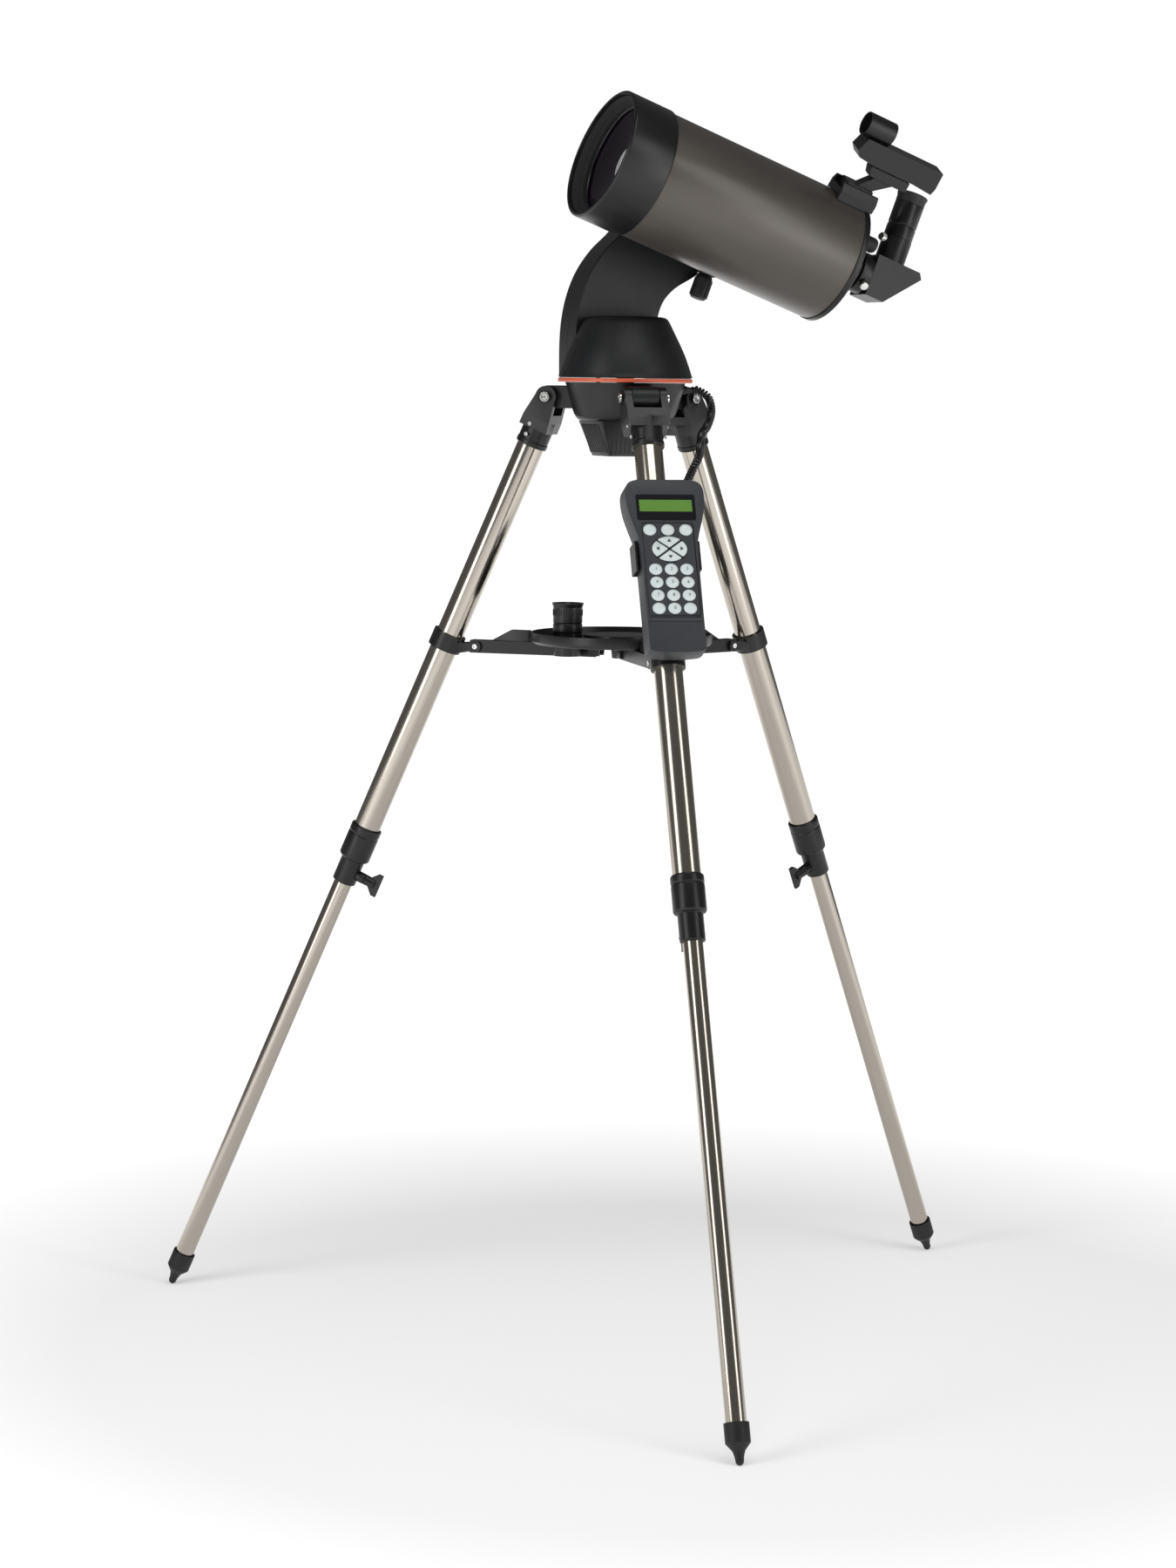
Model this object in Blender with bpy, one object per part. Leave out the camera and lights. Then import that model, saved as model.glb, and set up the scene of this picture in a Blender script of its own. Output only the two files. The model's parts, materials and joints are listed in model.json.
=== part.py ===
"""Maksutov-Cassegrain telescope on a single-arm motorised mount and a folding steel tripod.

Everything is in metres with +Z up.  The origin is on the ground, below the middle of the
rectangle that the three feet span.  The telescope looks towards -X and its eyepiece is at +X.
"""

import math

import bmesh
import bpy
from mathutils import Matrix, Vector

MM = 0.001
GAP = 0.3 * MM  # air between two pieces that touch or fit

# ---------------------------------------------------------------- tripod legs
LEGS = {"handset": -100.0, "right": 20.0, "left": 140.0}  # azimuth of each leg, degrees
LEG_SPREAD = math.radians(23.6)  # angle of an open leg from the vertical
PIVOT_RADIUS = 88.0 * MM  # leg pivot from the azimuth axis
YOKE_SLEEVE = 61.0 * MM  # pivot to the mouth of the yoke's sleeve
YOKE_WALL = 2.6 * MM  # yoke's sleeve round the upper tube
YOKE_SHOULDER = 6.0 * MM  # each ear stands this much wider than the sleeve
YOKE_EAR_RADIUS = 12.5 * MM
YOKE_SLOT_DEPTH = 20.0 * MM
LUG_WIDTH = 32.0 * MM
LUG_RADIUS = 13.0 * MM
PIVOT_PIN_RADIUS = 4.0 * MM
PIN_CLEARANCE = 0.3 * MM
BOLT_HEAD_RADIUS = 6.5 * MM
BOLT_HEAD_HEIGHT = 3.0 * MM
UPPER_TUBE_RADIUS = 15.9 * MM
UPPER_TUBE_WALL = 1.3 * MM
UPPER_TUBE_TOP = 31.0 * MM  # pivot to the upper tube's top end
UPPER_TUBE_LENGTH = 559.0 * MM
LOWER_TUBE_RADIUS = 11.1 * MM
LOWER_TUBE_WALL = 1.2 * MM
LOWER_TUBE_HIDDEN = 107.0 * MM  # lower tube above the mouth of the clamp
LEG_EXTENSION = 512.0 * MM  # clamp mouth to foot
CLAMP_GRIP = 33.0 * MM  # clamp sleeve over the upper tube
CLAMP_NECK = 41.0 * MM  # clamp sleeve beyond the upper tube
CLAMP_WALL = 2.7 * MM
CLAMP_NECK_WALL = 3.1 * MM
SLIDE_CLEARANCE = 0.3 * MM
WING_BOSS_LENGTH = 24.0 * MM
WING_SPAN = 28.0 * MM
FOOT_RADIUS = 13.5 * MM
FOOT_BODY = 21.0 * MM
FOOT_CONE = 8.0 * MM
FOOT_TIP = 15.0 * MM
FOOT_TIP_RADIUS = 4.5 * MM

YOKE_MOUTH_RADIUS = UPPER_TUBE_RADIUS + YOKE_WALL
YOKE_WIDTH = 2.0 * (YOKE_MOUTH_RADIUS + YOKE_SHOULDER)
CLAMP_RADIUS = UPPER_TUBE_RADIUS + CLAMP_WALL
CLAMP_NECK_RADIUS = LOWER_TUBE_RADIUS + CLAMP_NECK_WALL
UPPER_TUBE_END = UPPER_TUBE_TOP + UPPER_TUBE_LENGTH
CLAMP_TOP = UPPER_TUBE_END - CLAMP_GRIP
CLAMP_MOUTH = UPPER_TUBE_END + CLAMP_NECK
WING_PLACE = CLAMP_MOUTH - 14.0 * MM
FOOT_TOP = CLAMP_MOUTH + LEG_EXTENSION
FOOT_LENGTH = FOOT_BODY + FOOT_CONE + FOOT_TIP
TIP_CENTRE = FOOT_TOP + FOOT_LENGTH - FOOT_TIP_RADIUS
PIVOT_HEIGHT = TIP_CENTRE * math.cos(LEG_SPREAD) + FOOT_TIP_RADIUS
FOOT_CIRCLE = PIVOT_RADIUS + TIP_CENTRE * math.sin(LEG_SPREAD)

# ---------------------------------------------------------------- spreader and tray
COLLAR_PLACE = 312.0 * MM  # pivot to collar, down the leg
COLLAR_HEIGHT = 20.0 * MM
COLLAR_WALL = 3.6 * MM
LINK_REACH = 38.0 * MM  # leg axis to the spreader arm's pivot, level
LINK_DROP = 5.5 * MM  # arm's pivot below the middle of the collar
LINK_THICKNESS = 3.0 * MM
LINK_HEIGHT = 14.0 * MM
ARM_WIDTH = 16.0 * MM
ARM_HEIGHT = 15.0 * MM
ARM_WALL = 1.8 * MM
ARM_END_RADIUS = 28.0 * MM  # spreader arm's inner end from the middle
ARM_PIN_RADIUS = 2.2 * MM
HUB_BOSS_RADIUS = 13.0 * MM
HUB_PLATE_RADIUS = 40.0 * MM
HUB_PLATE_THICKNESS = 3.0 * MM
HUB_HEADROOM = 6.0 * MM  # arm's top face to the hub plate
TRAY_CLEARANCE = 1.0 * MM  # arm's top face to the tray
TRAY_RADIUS = 105.0 * MM
TRAY_RIM_HEIGHT = 13.0 * MM
TRAY_FLOOR = 2.5 * MM
TRAY_WALL = 2.5 * MM
TRAY_HOLE_CIRCLE = 63.0 * MM
TRAY_HOLE_CLEARANCE = 2.775 * MM  # spare eyepiece's barrel to the spreader arm beside it
TRAY_HOLES = 3
HOOK_HEIGHT = 13.0 * MM
HOOK_GAP = 6.0 * MM  # tray rim to the hook block on a spreader arm

# ---------------------------------------------------------------- mount
RING_ABOVE_PIVOT = 19.7 * MM
RING_RADIUS = 77.0 * MM
RING_HALF_HEIGHT = 2.2 * MM
RING_WIDTH = 9.0 * MM
HOUSING_DEPTH = 46.0 * MM
HOUSING_WALL = 3.0 * MM
POST_RADIUS = 10.0 * MM
DOME_HEIGHT = 72.5 * MM
DOME_WALL = 3.0 * MM
GEAR_RADIUS = 40.0 * MM
GEAR_TEETH = 32
GEAR_THICKNESS = 5.0 * MM
BATTERY_DEPTH = 40.0 * MM
BATTERY_TOP = (45.0 * MM, 33.0 * MM)  # half sizes at the housing
BATTERY_FOOT = (30.0 * MM, 26.0 * MM)
BATTERY_WALL = 2.5 * MM
ARM_INNER_FACE = 18.0 * MM  # fork arm's inner face from the azimuth axis
ARM_THICKNESS = 50.0 * MM
ARM_SEAM = 22.0 * MM  # inner face to the seam between the arm's two shells
ARM_SHELL_WALL = 3.0 * MM
ARM_LEFT = -56.0 * MM
ARM_RIGHT = 50.0 * MM
ARM_HEAD_RADIUS = 64.0 * MM
ALTITUDE_X = 90.0 * MM  # altitude axis behind the azimuth axis
ALTITUDE_Z = 190.8 * MM  # altitude axis above the trim ring
AXLE_RADIUS = 10.0 * MM
WHEEL_RADIUS = 32.0 * MM
AXLE_END = 34.0 * MM

# ---------------------------------------------------------------- optical tube
TUBE_TO_ARM = 23.0 * MM  # barrel's side to the fork arm's inner face
ALTITUDE = math.radians(20.67)  # angle at which the tube looks up
TUBE_FRONT = 169.0 * MM  # altitude axis to the tube's front lip
TUBE_BACK = 145.0 * MM  # altitude axis to the tube's back plate
TUBE_RADIUS = 73.0 * MM
BARREL_WALL = 1.2 * MM
FRONT_CELL_STEP = 2.0 * MM  # front cell stands proud of the barrel
FRONT_CELL_LENGTH = 56.0 * MM
SPIGOT_LENGTH = 8.0 * MM
LENS_MARGIN = 9.8 * MM  # lens edge inside the barrel's outer face
LENS_THICKNESS = 10.0 * MM
LENS_DEPTH = 33.0 * MM  # front lip to the middle of the lens's front face
LENS_CURVE = 170.0 * MM
BACK_CELL_STEP = 1.0 * MM
BACK_CELL_LENGTH = 7.0 * MM
BAFFLE_RADIUS = 18.0 * MM
BAFFLE_BORE = 15.0 * MM
BAFFLE_LENGTH = 85.0 * MM
MIRROR_MARGIN = 7.0 * MM
MIRROR_THICKNESS = 13.0 * MM
MIRROR_PLACE = 22.0 * MM  # back plate to the mirror's back face
MIRROR_CURVE = 450.0 * MM
BACK_NECK_WALL = 4.15 * MM  # outside the bore for the 1.25 inch nose
BACK_COLLAR_WALL = 8.15 * MM
BACK_NECK_LENGTH = 26.0 * MM
BACK_COLLAR_LENGTH = 15.0 * MM
EYEPIECE_BARREL = 15.85 * MM  # radius of a 1.25 inch eyepiece or nose
BORE_CLEARANCE = 0.25 * MM
SCREW_ANGLE = math.radians(236.0)  # thumb screw round the visual back, from straight up
FOCUS_ANGLE = math.atan2(-2.0, 3.0)  # focus knob round the tube axis, from straight up
FOCUS_CLEARANCE = 1.06 * MM  # focus knob to the visual back's flange
FOCUS_RADIUS = 9.0 * MM
FOCUS_LENGTH = 31.0 * MM

# ---------------------------------------------------------------- diagonal and eyepieces
DIAGONAL_AXIS = 66.0 * MM  # back plate to the eyepiece's axis
DIAGONAL_HALF = 24.5 * MM
DIAGONAL_WALL = 4.15 * MM
DIAGONAL_NOSE = 20.0 * MM
HOLDER_WALL = 1.75 * MM
HOLDER_TOP = 53.0 * MM  # tube axis to the mouth of the eyepiece holder
HOLDER_SCREW_TURN = math.radians(20.0)  # from straight forwards towards the side
EYEPIECE_SHOULDER = 1.15 * MM  # eyepiece's body beyond its barrel
EYEPIECE_BODY = 42.0 * MM
CUP_LENGTH = 12.0 * MM
CUP_FLARE = 1.5 * MM
BARREL_LENGTH = 26.0 * MM
SPARE_BODY = 44.5 * MM
SPARE_BARREL = 17.0 * MM

# ---------------------------------------------------------------- red-dot finder
FINDER_CLOCK = math.radians(26.0)  # finder round the tube from the top
SHOE_FRONT = 46.0 * MM  # back plate to the shoe's front end
SHOE_OVERHANG = 1.0 * MM
SHOE_HALF_WIDTH = 21.0 * MM
SHOE_RISE = 17.0 * MM  # shoe's top above the barrel
SHOE_SLOT = 12.6 * MM
SHOE_SLOT_DEPTH = 8.0 * MM
STRUT_RISE = 17.0 * MM
BLOCK_HEIGHT = 12.0 * MM
FINDER_TILT_GAP = 1.5 * MM
FINDER_HEIGHT = 27.0 * MM
FINDER_HALF_WIDTH = 13.0 * MM
SIGHT_RADIUS = 13.8 * MM
SIGHT_WALL = 1.6 * MM

# ---------------------------------------------------------------- tube clamp
BAR_HALF = 22.0 * MM  # dovetail bar's half height at the clamp
BAR_NECK = 18.5 * MM
BAR_THICKNESS = 12.0 * MM
BAR_HALF_LENGTH = 75.0 * MM
CLAMP_PLATE = 8.6 * MM
CLAMP_HALF_LENGTH = 42.0 * MM
CLAMP_HALF_HEIGHT = 38.0 * MM
KNOB_PLACE = -35.0 * MM
KNOB_TOP = 61.0 * MM
KNOB_LENGTH = 28.0 * MM
KNOB_RADIUS = 11.0 * MM

# ---------------------------------------------------------------- what follows from those
TUBE_SIDE = ARM_INNER_FACE - TUBE_TO_ARM - TUBE_RADIUS  # tube axis from the azimuth axis, along Y
FRONT_CELL_RADIUS = TUBE_RADIUS + FRONT_CELL_STEP
LENS_RADIUS = TUBE_RADIUS - LENS_MARGIN
BACK_CELL_RADIUS = TUBE_RADIUS + BACK_CELL_STEP
MIRROR_RADIUS = TUBE_RADIUS - MIRROR_MARGIN
BACK_NECK_RADIUS = EYEPIECE_BARREL + BACK_NECK_WALL
BACK_COLLAR_RADIUS = EYEPIECE_BARREL + BACK_COLLAR_WALL
FOCUS_PLACE = BACK_COLLAR_RADIUS + MM + FOCUS_RADIUS + FOCUS_CLEARANCE
FOCUS_UP = FOCUS_PLACE * math.cos(FOCUS_ANGLE)
FOCUS_SIDE = FOCUS_PLACE * math.sin(FOCUS_ANGLE)
DIAGONAL_SIDE = EYEPIECE_BARREL + DIAGONAL_WALL
HOLDER_RADIUS = EYEPIECE_BARREL + HOLDER_WALL
EYEPIECE_BODY_RADIUS = EYEPIECE_BARREL + EYEPIECE_SHOULDER
CUP_RADIUS = EYEPIECE_BODY_RADIUS + CUP_FLARE
SHOE_TOP = TUBE_RADIUS + SHOE_RISE
BLOCK_BOTTOM = SHOE_TOP + STRUT_RISE
BLOCK_TOP = BLOCK_BOTTOM + BLOCK_HEIGHT
FINDER_TOP = BLOCK_TOP + FINDER_HEIGHT
HOLE_SIDE = ARM_WIDTH / 2.0 + EYEPIECE_BARREL + TRAY_HOLE_CLEARANCE
TRAY_HOLE_AZIMUTH = LEGS["left"] + math.degrees(math.asin(HOLE_SIDE / TRAY_HOLE_CIRCLE))

# ---------------------------------------------------------------- handset
HANDSET_TOP = 117.5 * MM  # leg pivot to the handset's top end
HANDSET_LENGTH = 202.0 * MM
HANDSET_GRIP = 33.8 * MM  # half width where the holder's clips hold it
HOLDER_CLIP_DROP = 70.0 * MM
HANDSET_BACK = 24.0 * MM  # leg axis to the handset's back
HANDSET_DEPTH = 27.0 * MM
KEYPAD_SINK = 3.0 * MM
KEYPAD_TRAVEL_GAP = 1.2 * MM
KEY_PITCH = (17.6 * MM, 15.1 * MM)  # across and down
KEY_COUNT = (3, 4)
KEY_FIRST_ROW = 106.0 * MM  # handset's top to the first row of number keys
KEY_HALF = (7.4 * MM, 6.6 * MM)
MENU_ROW = 60.0 * MM
MENU_PITCH = 20.4 * MM
PAD_ROW = 82.5 * MM
PAD_HALF = (19.8 * MM, 14.4 * MM)
HOLDER_PLATE = 4.0 * MM

# ---------------------------------------------------------------- handset cord
CORD_RADIUS = 5.0 * MM
CORD_SOCKET_AZIMUTH = math.radians(-14.0)
CORD_SOCKET_REACH = 70.0 * MM
CORD_SOCKET_DROP = 10.0 * MM
CORD_SOCKET_RADIUS = 5.5 * MM
HANDSET_SOCKET = (18.0 * MM, 28.0 * MM, 30.0 * MM)  # out from the leg, sideways, below the top
CORD_DROP = [(92.0, -28.0, -18.0), (90.0, -42.0, -34.0), (77.0, -60.0, -50.0), (58.0, -84.0, -62.0)]
CORD_LANDING = [(8.0, 56.0, 72.0), (13.0, 44.0, 94.0), (16.5, 34.0, 114.0)]  # out, across, down the leg
CORD_POINTS = 34

SMOOTH_ANGLE = math.radians(35.0)
COARSE = 12  # sides of small, middling and large round pieces
MEDIUM = 20
FINE = 36

FINISHES = {
    "black_plastic": ((0.020, 0.020, 0.022), 0.45, 0.0),
    "charcoal_plastic": ((0.035, 0.035, 0.037), 0.55, 0.0),
    "orange_trim": ((0.62, 0.10, 0.04), 0.40, 0.0),
    "brushed_steel": ((0.52, 0.50, 0.46), 0.28, 1.0),
    "chrome": ((0.75, 0.75, 0.75), 0.12, 1.0),
    "rubber": ((0.015, 0.015, 0.016), 0.80, 0.0),
    "barrel_paint": ((0.065, 0.058, 0.052), 0.35, 0.6),
    "black_metal": ((0.018, 0.018, 0.018), 0.35, 0.3),
    "coated_glass": ((0.10, 0.06, 0.14), 0.05, 0.0),
    "mirror_glass": ((0.85, 0.86, 0.88), 0.03, 1.0),
    "gear_metal": ((0.55, 0.45, 0.25), 0.35, 1.0),
    "key_plastic": ((0.72, 0.77, 0.77), 0.45, 0.0),
}

for old in list(bpy.data.objects):
    bpy.data.objects.remove(old, do_unlink=True)


# ================================================================ modelling helpers
def finish(name):
    """One Principled material for each finish, made the first time it is asked for."""
    if name in bpy.data.materials:
        return bpy.data.materials[name]
    colour, roughness, metallic = FINISHES[name]
    made = bpy.data.materials.new(name)
    made.use_nodes = True
    shader = made.node_tree.nodes["Principled BSDF"]
    shader.inputs["Base Color"].default_value = (*colour, 1.0)
    shader.inputs["Roughness"].default_value = roughness
    shader.inputs["Metallic"].default_value = metallic
    return made


def frame(name, location, rotation=(0.0, 0.0, 0.0), parent=None):
    """An empty that carries the pieces built in its own axes."""
    empty = bpy.data.objects.new(name, None)
    bpy.context.scene.collection.objects.link(empty)
    empty.parent = parent
    empty.location = location
    empty.rotation_euler = rotation
    return empty


def solid(name, bm, look, parent):
    """Turn a bmesh into one closed, outward-facing object."""
    bmesh.ops.remove_doubles(bm, verts=bm.verts, dist=0.001 * MM)
    bmesh.ops.recalc_face_normals(bm, faces=bm.faces)
    mesh = bpy.data.meshes.new(name)
    bm.to_mesh(mesh)
    bm.free()
    mesh.materials.append(finish(look))
    mesh.shade_smooth()
    mesh.set_sharp_from_angle(angle=SMOOTH_ANGLE)
    piece = bpy.data.objects.new(name, mesh)
    bpy.context.scene.collection.objects.link(piece)
    piece.parent = parent
    return piece


def along(axis, origin=(0.0, 0.0, 0.0)):
    """Matrix that lays a shape's own Z along an axis of the frame, from an origin."""
    turn = Vector((0.0, 0.0, 1.0)).rotation_difference(Vector(axis))
    return Matrix.Translation(origin) @ turn.to_matrix().to_4x4()


def turned(name, profile, look, parent, steps=FINE, place=None):
    """Revolve (radius, height) points about Z; the profile is a loop unless it meets the axis."""
    bm = bmesh.new()
    points = [bm.verts.new((radius, 0.0, height)) for radius, height in profile]
    pairs = list(zip(points, points[1:]))
    if all(radius > 0.0 for radius, _ in profile):
        pairs.append((points[-1], points[0]))
    edges = [bm.edges.new(pair) for pair in pairs]
    bmesh.ops.spin(
        bm,
        geom=points + edges,
        cent=(0.0, 0.0, 0.0),
        axis=(0.0, 0.0, 1.0),
        angle=2.0 * math.pi,
        steps=steps,
        use_merge=True,
    )
    if place is not None:
        bmesh.ops.transform(bm, matrix=place, verts=bm.verts)
    return solid(name, bm, look, parent)


def pipe(name, outer, inner, low, high, look, parent, steps=MEDIUM, place=None):
    """A plain tube between two heights."""
    profile = [(outer, high), (outer, low), (inner, low), (inner, high)]
    return turned(name, profile, look, parent, steps, place)


def rod(name, radius, low, high, look, parent, steps=COARSE, place=None):
    """A plain round bar between two heights."""
    profile = [(0.0, high), (radius, high), (radius, low), (0.0, low)]
    return turned(name, profile, look, parent, steps, place)


PLANES = {
    "xy": lambda u, v, w: (u, v, w),
    "xz": lambda u, v, w: (u, w, v),
    "yz": lambda u, v, w: (w, u, v),
}


def plate(name, outline, low, high, look, parent, plane="xy", place=None, top_scale=None):
    """Extrude an outline drawn in one of the frame's planes between two depths."""
    at = PLANES[plane]
    bm = bmesh.new()
    base = bm.faces.new([bm.verts.new(at(u, v, low)) for u, v in outline])
    grown = bmesh.ops.extrude_face_region(bm, geom=[base])
    lifted = [item for item in grown["geom"] if isinstance(item, bmesh.types.BMVert)]
    bmesh.ops.translate(bm, vec=at(0.0, 0.0, high - low), verts=lifted)
    if top_scale is not None:
        bmesh.ops.scale(bm, vec=at(*top_scale, 1.0), verts=lifted)
    if place is not None:
        bmesh.ops.transform(bm, matrix=place, verts=bm.verts)
    return solid(name, bm, look, parent)


def rectangle(low_u, high_u, low_v, high_v):
    """Corners of a rectangle."""
    return [(low_u, low_v), (high_u, low_v), (high_u, high_v), (low_u, high_v)]


def arc(centre_u, centre_v, radius, start, end, steps):
    """Points on an arc, angles in degrees."""
    turns = [math.radians(start + (end - start) * i / steps) for i in range(steps + 1)]
    return [(centre_u + radius * math.cos(a), centre_v + radius * math.sin(a)) for a in turns]


def rounded(outline, radius, steps=4):
    """Replace each corner of an outline by an arc that is tangent to its two sides."""
    result = []
    count = len(outline)
    for i, corner in enumerate(outline):
        here = Vector(corner)
        before = (Vector(outline[i - 1]) - here).normalized()
        after = (Vector(outline[(i + 1) % count]) - here).normalized()
        half = before.angle(after) / 2.0
        centre = here + (before + after).normalized() * radius / math.sin(half)
        start = here + before * radius / math.tan(half) - centre
        end = here + after * radius / math.tan(half) - centre
        for step in range(steps + 1):
            spoke = start.lerp(end, step / steps).normalized() * radius
            result.append(tuple(centre + spoke))
    return result


def inset(outline, distance):
    """Move a counter-clockwise outline inwards by a distance."""
    result = []
    count = len(outline)
    for i, corner in enumerate(outline):
        here = Vector(corner)
        before = (here - Vector(outline[i - 1])).normalized()
        after = (Vector(outline[(i + 1) % count]) - here).normalized()
        normal = Vector((-(before.y + after.y), before.x + after.x)).normalized()
        lean = max(0.5, normal.dot(Vector((-after.y, after.x))))
        result.append(tuple(here + normal * distance / lean))
    return result


def smooth_route(points, count):
    """Points at even parameter steps on a Catmull-Rom curve through the route's points."""
    padded = [2 * points[0] - points[1]] + points + [2 * points[-1] - points[-2]]
    spans = len(points) - 1
    result = []
    for i in range(count + 1):
        position = spans * i / count
        span = min(int(position), spans - 1)
        t = position - span
        a, b, c, d = padded[span : span + 4]
        result.append(
            0.5 * (2 * b + (c - a) * t + (2 * a - 5 * b + 4 * c - d) * t**2)
            + 0.5 * (3 * b - a - 3 * c + d) * t**3
        )
    return result


def boolean(piece, tool, operation):
    """Cut or join a piece with a guide solid, which itself stays out of the model."""
    tool.hide_render = True
    tool.display_type = "WIRE"
    step = piece.modifiers.new(f"{operation.lower()} {tool.name}", "BOOLEAN")
    step.operation = operation
    step.solver = "EXACT"
    step.object = tool
    return piece


def cut(piece, *tools):
    """Remove each tool from the piece."""
    for tool in tools:
        boolean(piece, tool, "DIFFERENCE")
    return piece


def join(piece, *tools):
    """Add each tool to the piece."""
    for tool in tools:
        boolean(piece, tool, "UNION")
    return piece


# ================================================================ frames
def mount_frame():
    """Azimuth axis at the level of the trim ring, centred so that the feet straddle the origin."""
    angles = [math.radians(azimuth) for azimuth in LEGS.values()]
    across = [math.cos(angle) * FOOT_CIRCLE for angle in angles]
    deep = [math.sin(angle) * FOOT_CIRCLE for angle in angles]
    middle_x = -(max(across) + min(across)) / 2.0
    middle_y = -(max(deep) + min(deep)) / 2.0
    return frame("azimuth_axis", (middle_x, middle_y, PIVOT_HEIGHT + RING_ABOVE_PIVOT))


BASE = mount_frame()
TUBE = frame(
    "altitude_axis",
    (ALTITUDE_X, TUBE_SIDE, ALTITUDE_Z),
    (0.0, ALTITUDE - math.pi / 2.0, 0.0),
    BASE,
)
FINDER = frame("finder_clock", (0.0, 0.0, -TUBE_BACK), (0.0, 0.0, -FINDER_CLOCK), TUBE)


def leg_frame(name, azimuth):
    """Leg pivot; -Z runs down the leg, +X faces away from the tripod's middle."""
    angle = math.radians(azimuth)
    place = (PIVOT_RADIUS * math.cos(angle), PIVOT_RADIUS * math.sin(angle), -RING_ABOVE_PIVOT)
    return frame(f"leg_pivot_{name}", place, (0.0, -LEG_SPREAD, angle), BASE)


LEG_FRAMES = {name: leg_frame(name, azimuth) for name, azimuth in LEGS.items()}


# ================================================================ tripod legs
def leg_yoke(name, leg):
    """Moulded fork that pivots on the mount's lug and holds the upper tube; its pin is fixed in it."""
    half = YOKE_WIDTH / 2.0
    foot = YOKE_MOUTH_RADIUS
    shoulder = -YOKE_SLOT_DEPTH - 8.0 * MM
    side = arc(0.0, 0.0, YOKE_EAR_RADIUS, 0.0, 180.0, 8)
    side += [(-foot, shoulder), (-foot, -YOKE_SLEEVE), (foot, -YOKE_SLEEVE), (foot, shoulder)]
    yoke = plate(f"leg_yoke_{name}", side, -half, half, "black_plastic", leg, "xz")
    taper = [(half - 6.0 * MM, -YOKE_SLEEVE - MM), (half + MM, shoulder), (half + MM, -YOKE_SLEEVE - MM)]
    deep = 2.0 * foot
    slot_half = LUG_WIDTH / 2.0 + GAP
    slot = rectangle(-deep, deep, -YOKE_SLOT_DEPTH, 2.0 * YOKE_EAR_RADIUS)
    bore = UPPER_TUBE_RADIUS + GAP
    for sign in (-1.0, 1.0):
        flank = [(sign * across, height) for across, height in taper]
        cut(yoke, plate(f"yoke_flank_{name}_{sign:+.0f}", flank, -deep, deep, "rubber", leg, "yz"))
    cut(
        yoke,
        plate(f"yoke_slot_{name}", slot, -slot_half, slot_half, "rubber", leg, "xz"),
        rod(f"yoke_bore_{name}", bore, -2.0 * YOKE_SLEEVE, -UPPER_TUBE_TOP + GAP, "rubber", leg, MEDIUM),
    )
    reach = half + BOLT_HEAD_HEIGHT
    head = BOLT_HEAD_RADIUS
    pin = [(0.0, reach), (head, reach), (head, half - MM), (PIVOT_PIN_RADIUS, half - MM)]
    pin += [(radius, -height) for radius, height in reversed(pin)]
    join(yoke, turned(f"yoke_pin_{name}", pin, "chrome", leg, COARSE, along((0.0, 1.0, 0.0))))


def leg_tubes(name, leg):
    """The two telescoping steel tubes."""
    upper_inner = UPPER_TUBE_RADIUS - UPPER_TUBE_WALL
    pipe(
        f"upper_tube_{name}", UPPER_TUBE_RADIUS, upper_inner,
        -UPPER_TUBE_END, -UPPER_TUBE_TOP, "brushed_steel", leg,
    )
    lower_inner = LOWER_TUBE_RADIUS - LOWER_TUBE_WALL
    pipe(
        f"lower_tube_{name}", LOWER_TUBE_RADIUS, lower_inner,
        -FOOT_TOP - FOOT_BODY + 5.0 * MM, -CLAMP_MOUTH + LOWER_TUBE_HIDDEN, "brushed_steel", leg,
    )


def leg_clamp(name, leg):
    """Sleeve at the end of the upper tube, with the boss for the wing screw facing inwards."""
    over = UPPER_TUBE_RADIUS + GAP
    under = LOWER_TUBE_RADIUS + SLIDE_CLEARANCE
    step = -UPPER_TUBE_END - 8.0 * MM
    profile = [
        (over, -CLAMP_TOP), (CLAMP_RADIUS - MM, -CLAMP_TOP), (CLAMP_RADIUS, -CLAMP_TOP - MM),
        (CLAMP_RADIUS, step), (CLAMP_RADIUS - MM, step - MM), (CLAMP_NECK_RADIUS, step - 2.0 * MM),
        (CLAMP_NECK_RADIUS, -CLAMP_MOUTH), (under, -CLAMP_MOUTH), (under, -UPPER_TUBE_END - GAP),
        (over, -UPPER_TUBE_END - GAP),
    ]
    clamp = turned(f"leg_clamp_{name}", profile, "black_plastic", leg, MEDIUM)
    centre = (0.0, 0.0, -WING_PLACE)
    inward = along((-1.0, 0.0, 0.0), centre)
    wall = (under + CLAMP_NECK_RADIUS) / 2.0
    boss = rod(f"clamp_boss_{name}", 7.0 * MM, wall, WING_BOSS_LENGTH, "rubber", leg, COARSE, inward)
    hole = rod(f"clamp_hole_{name}", 3.3 * MM, MM, 2 * WING_BOSS_LENGTH, "rubber", leg, COARSE, inward)
    cut(join(clamp, boss), hole)


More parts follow.
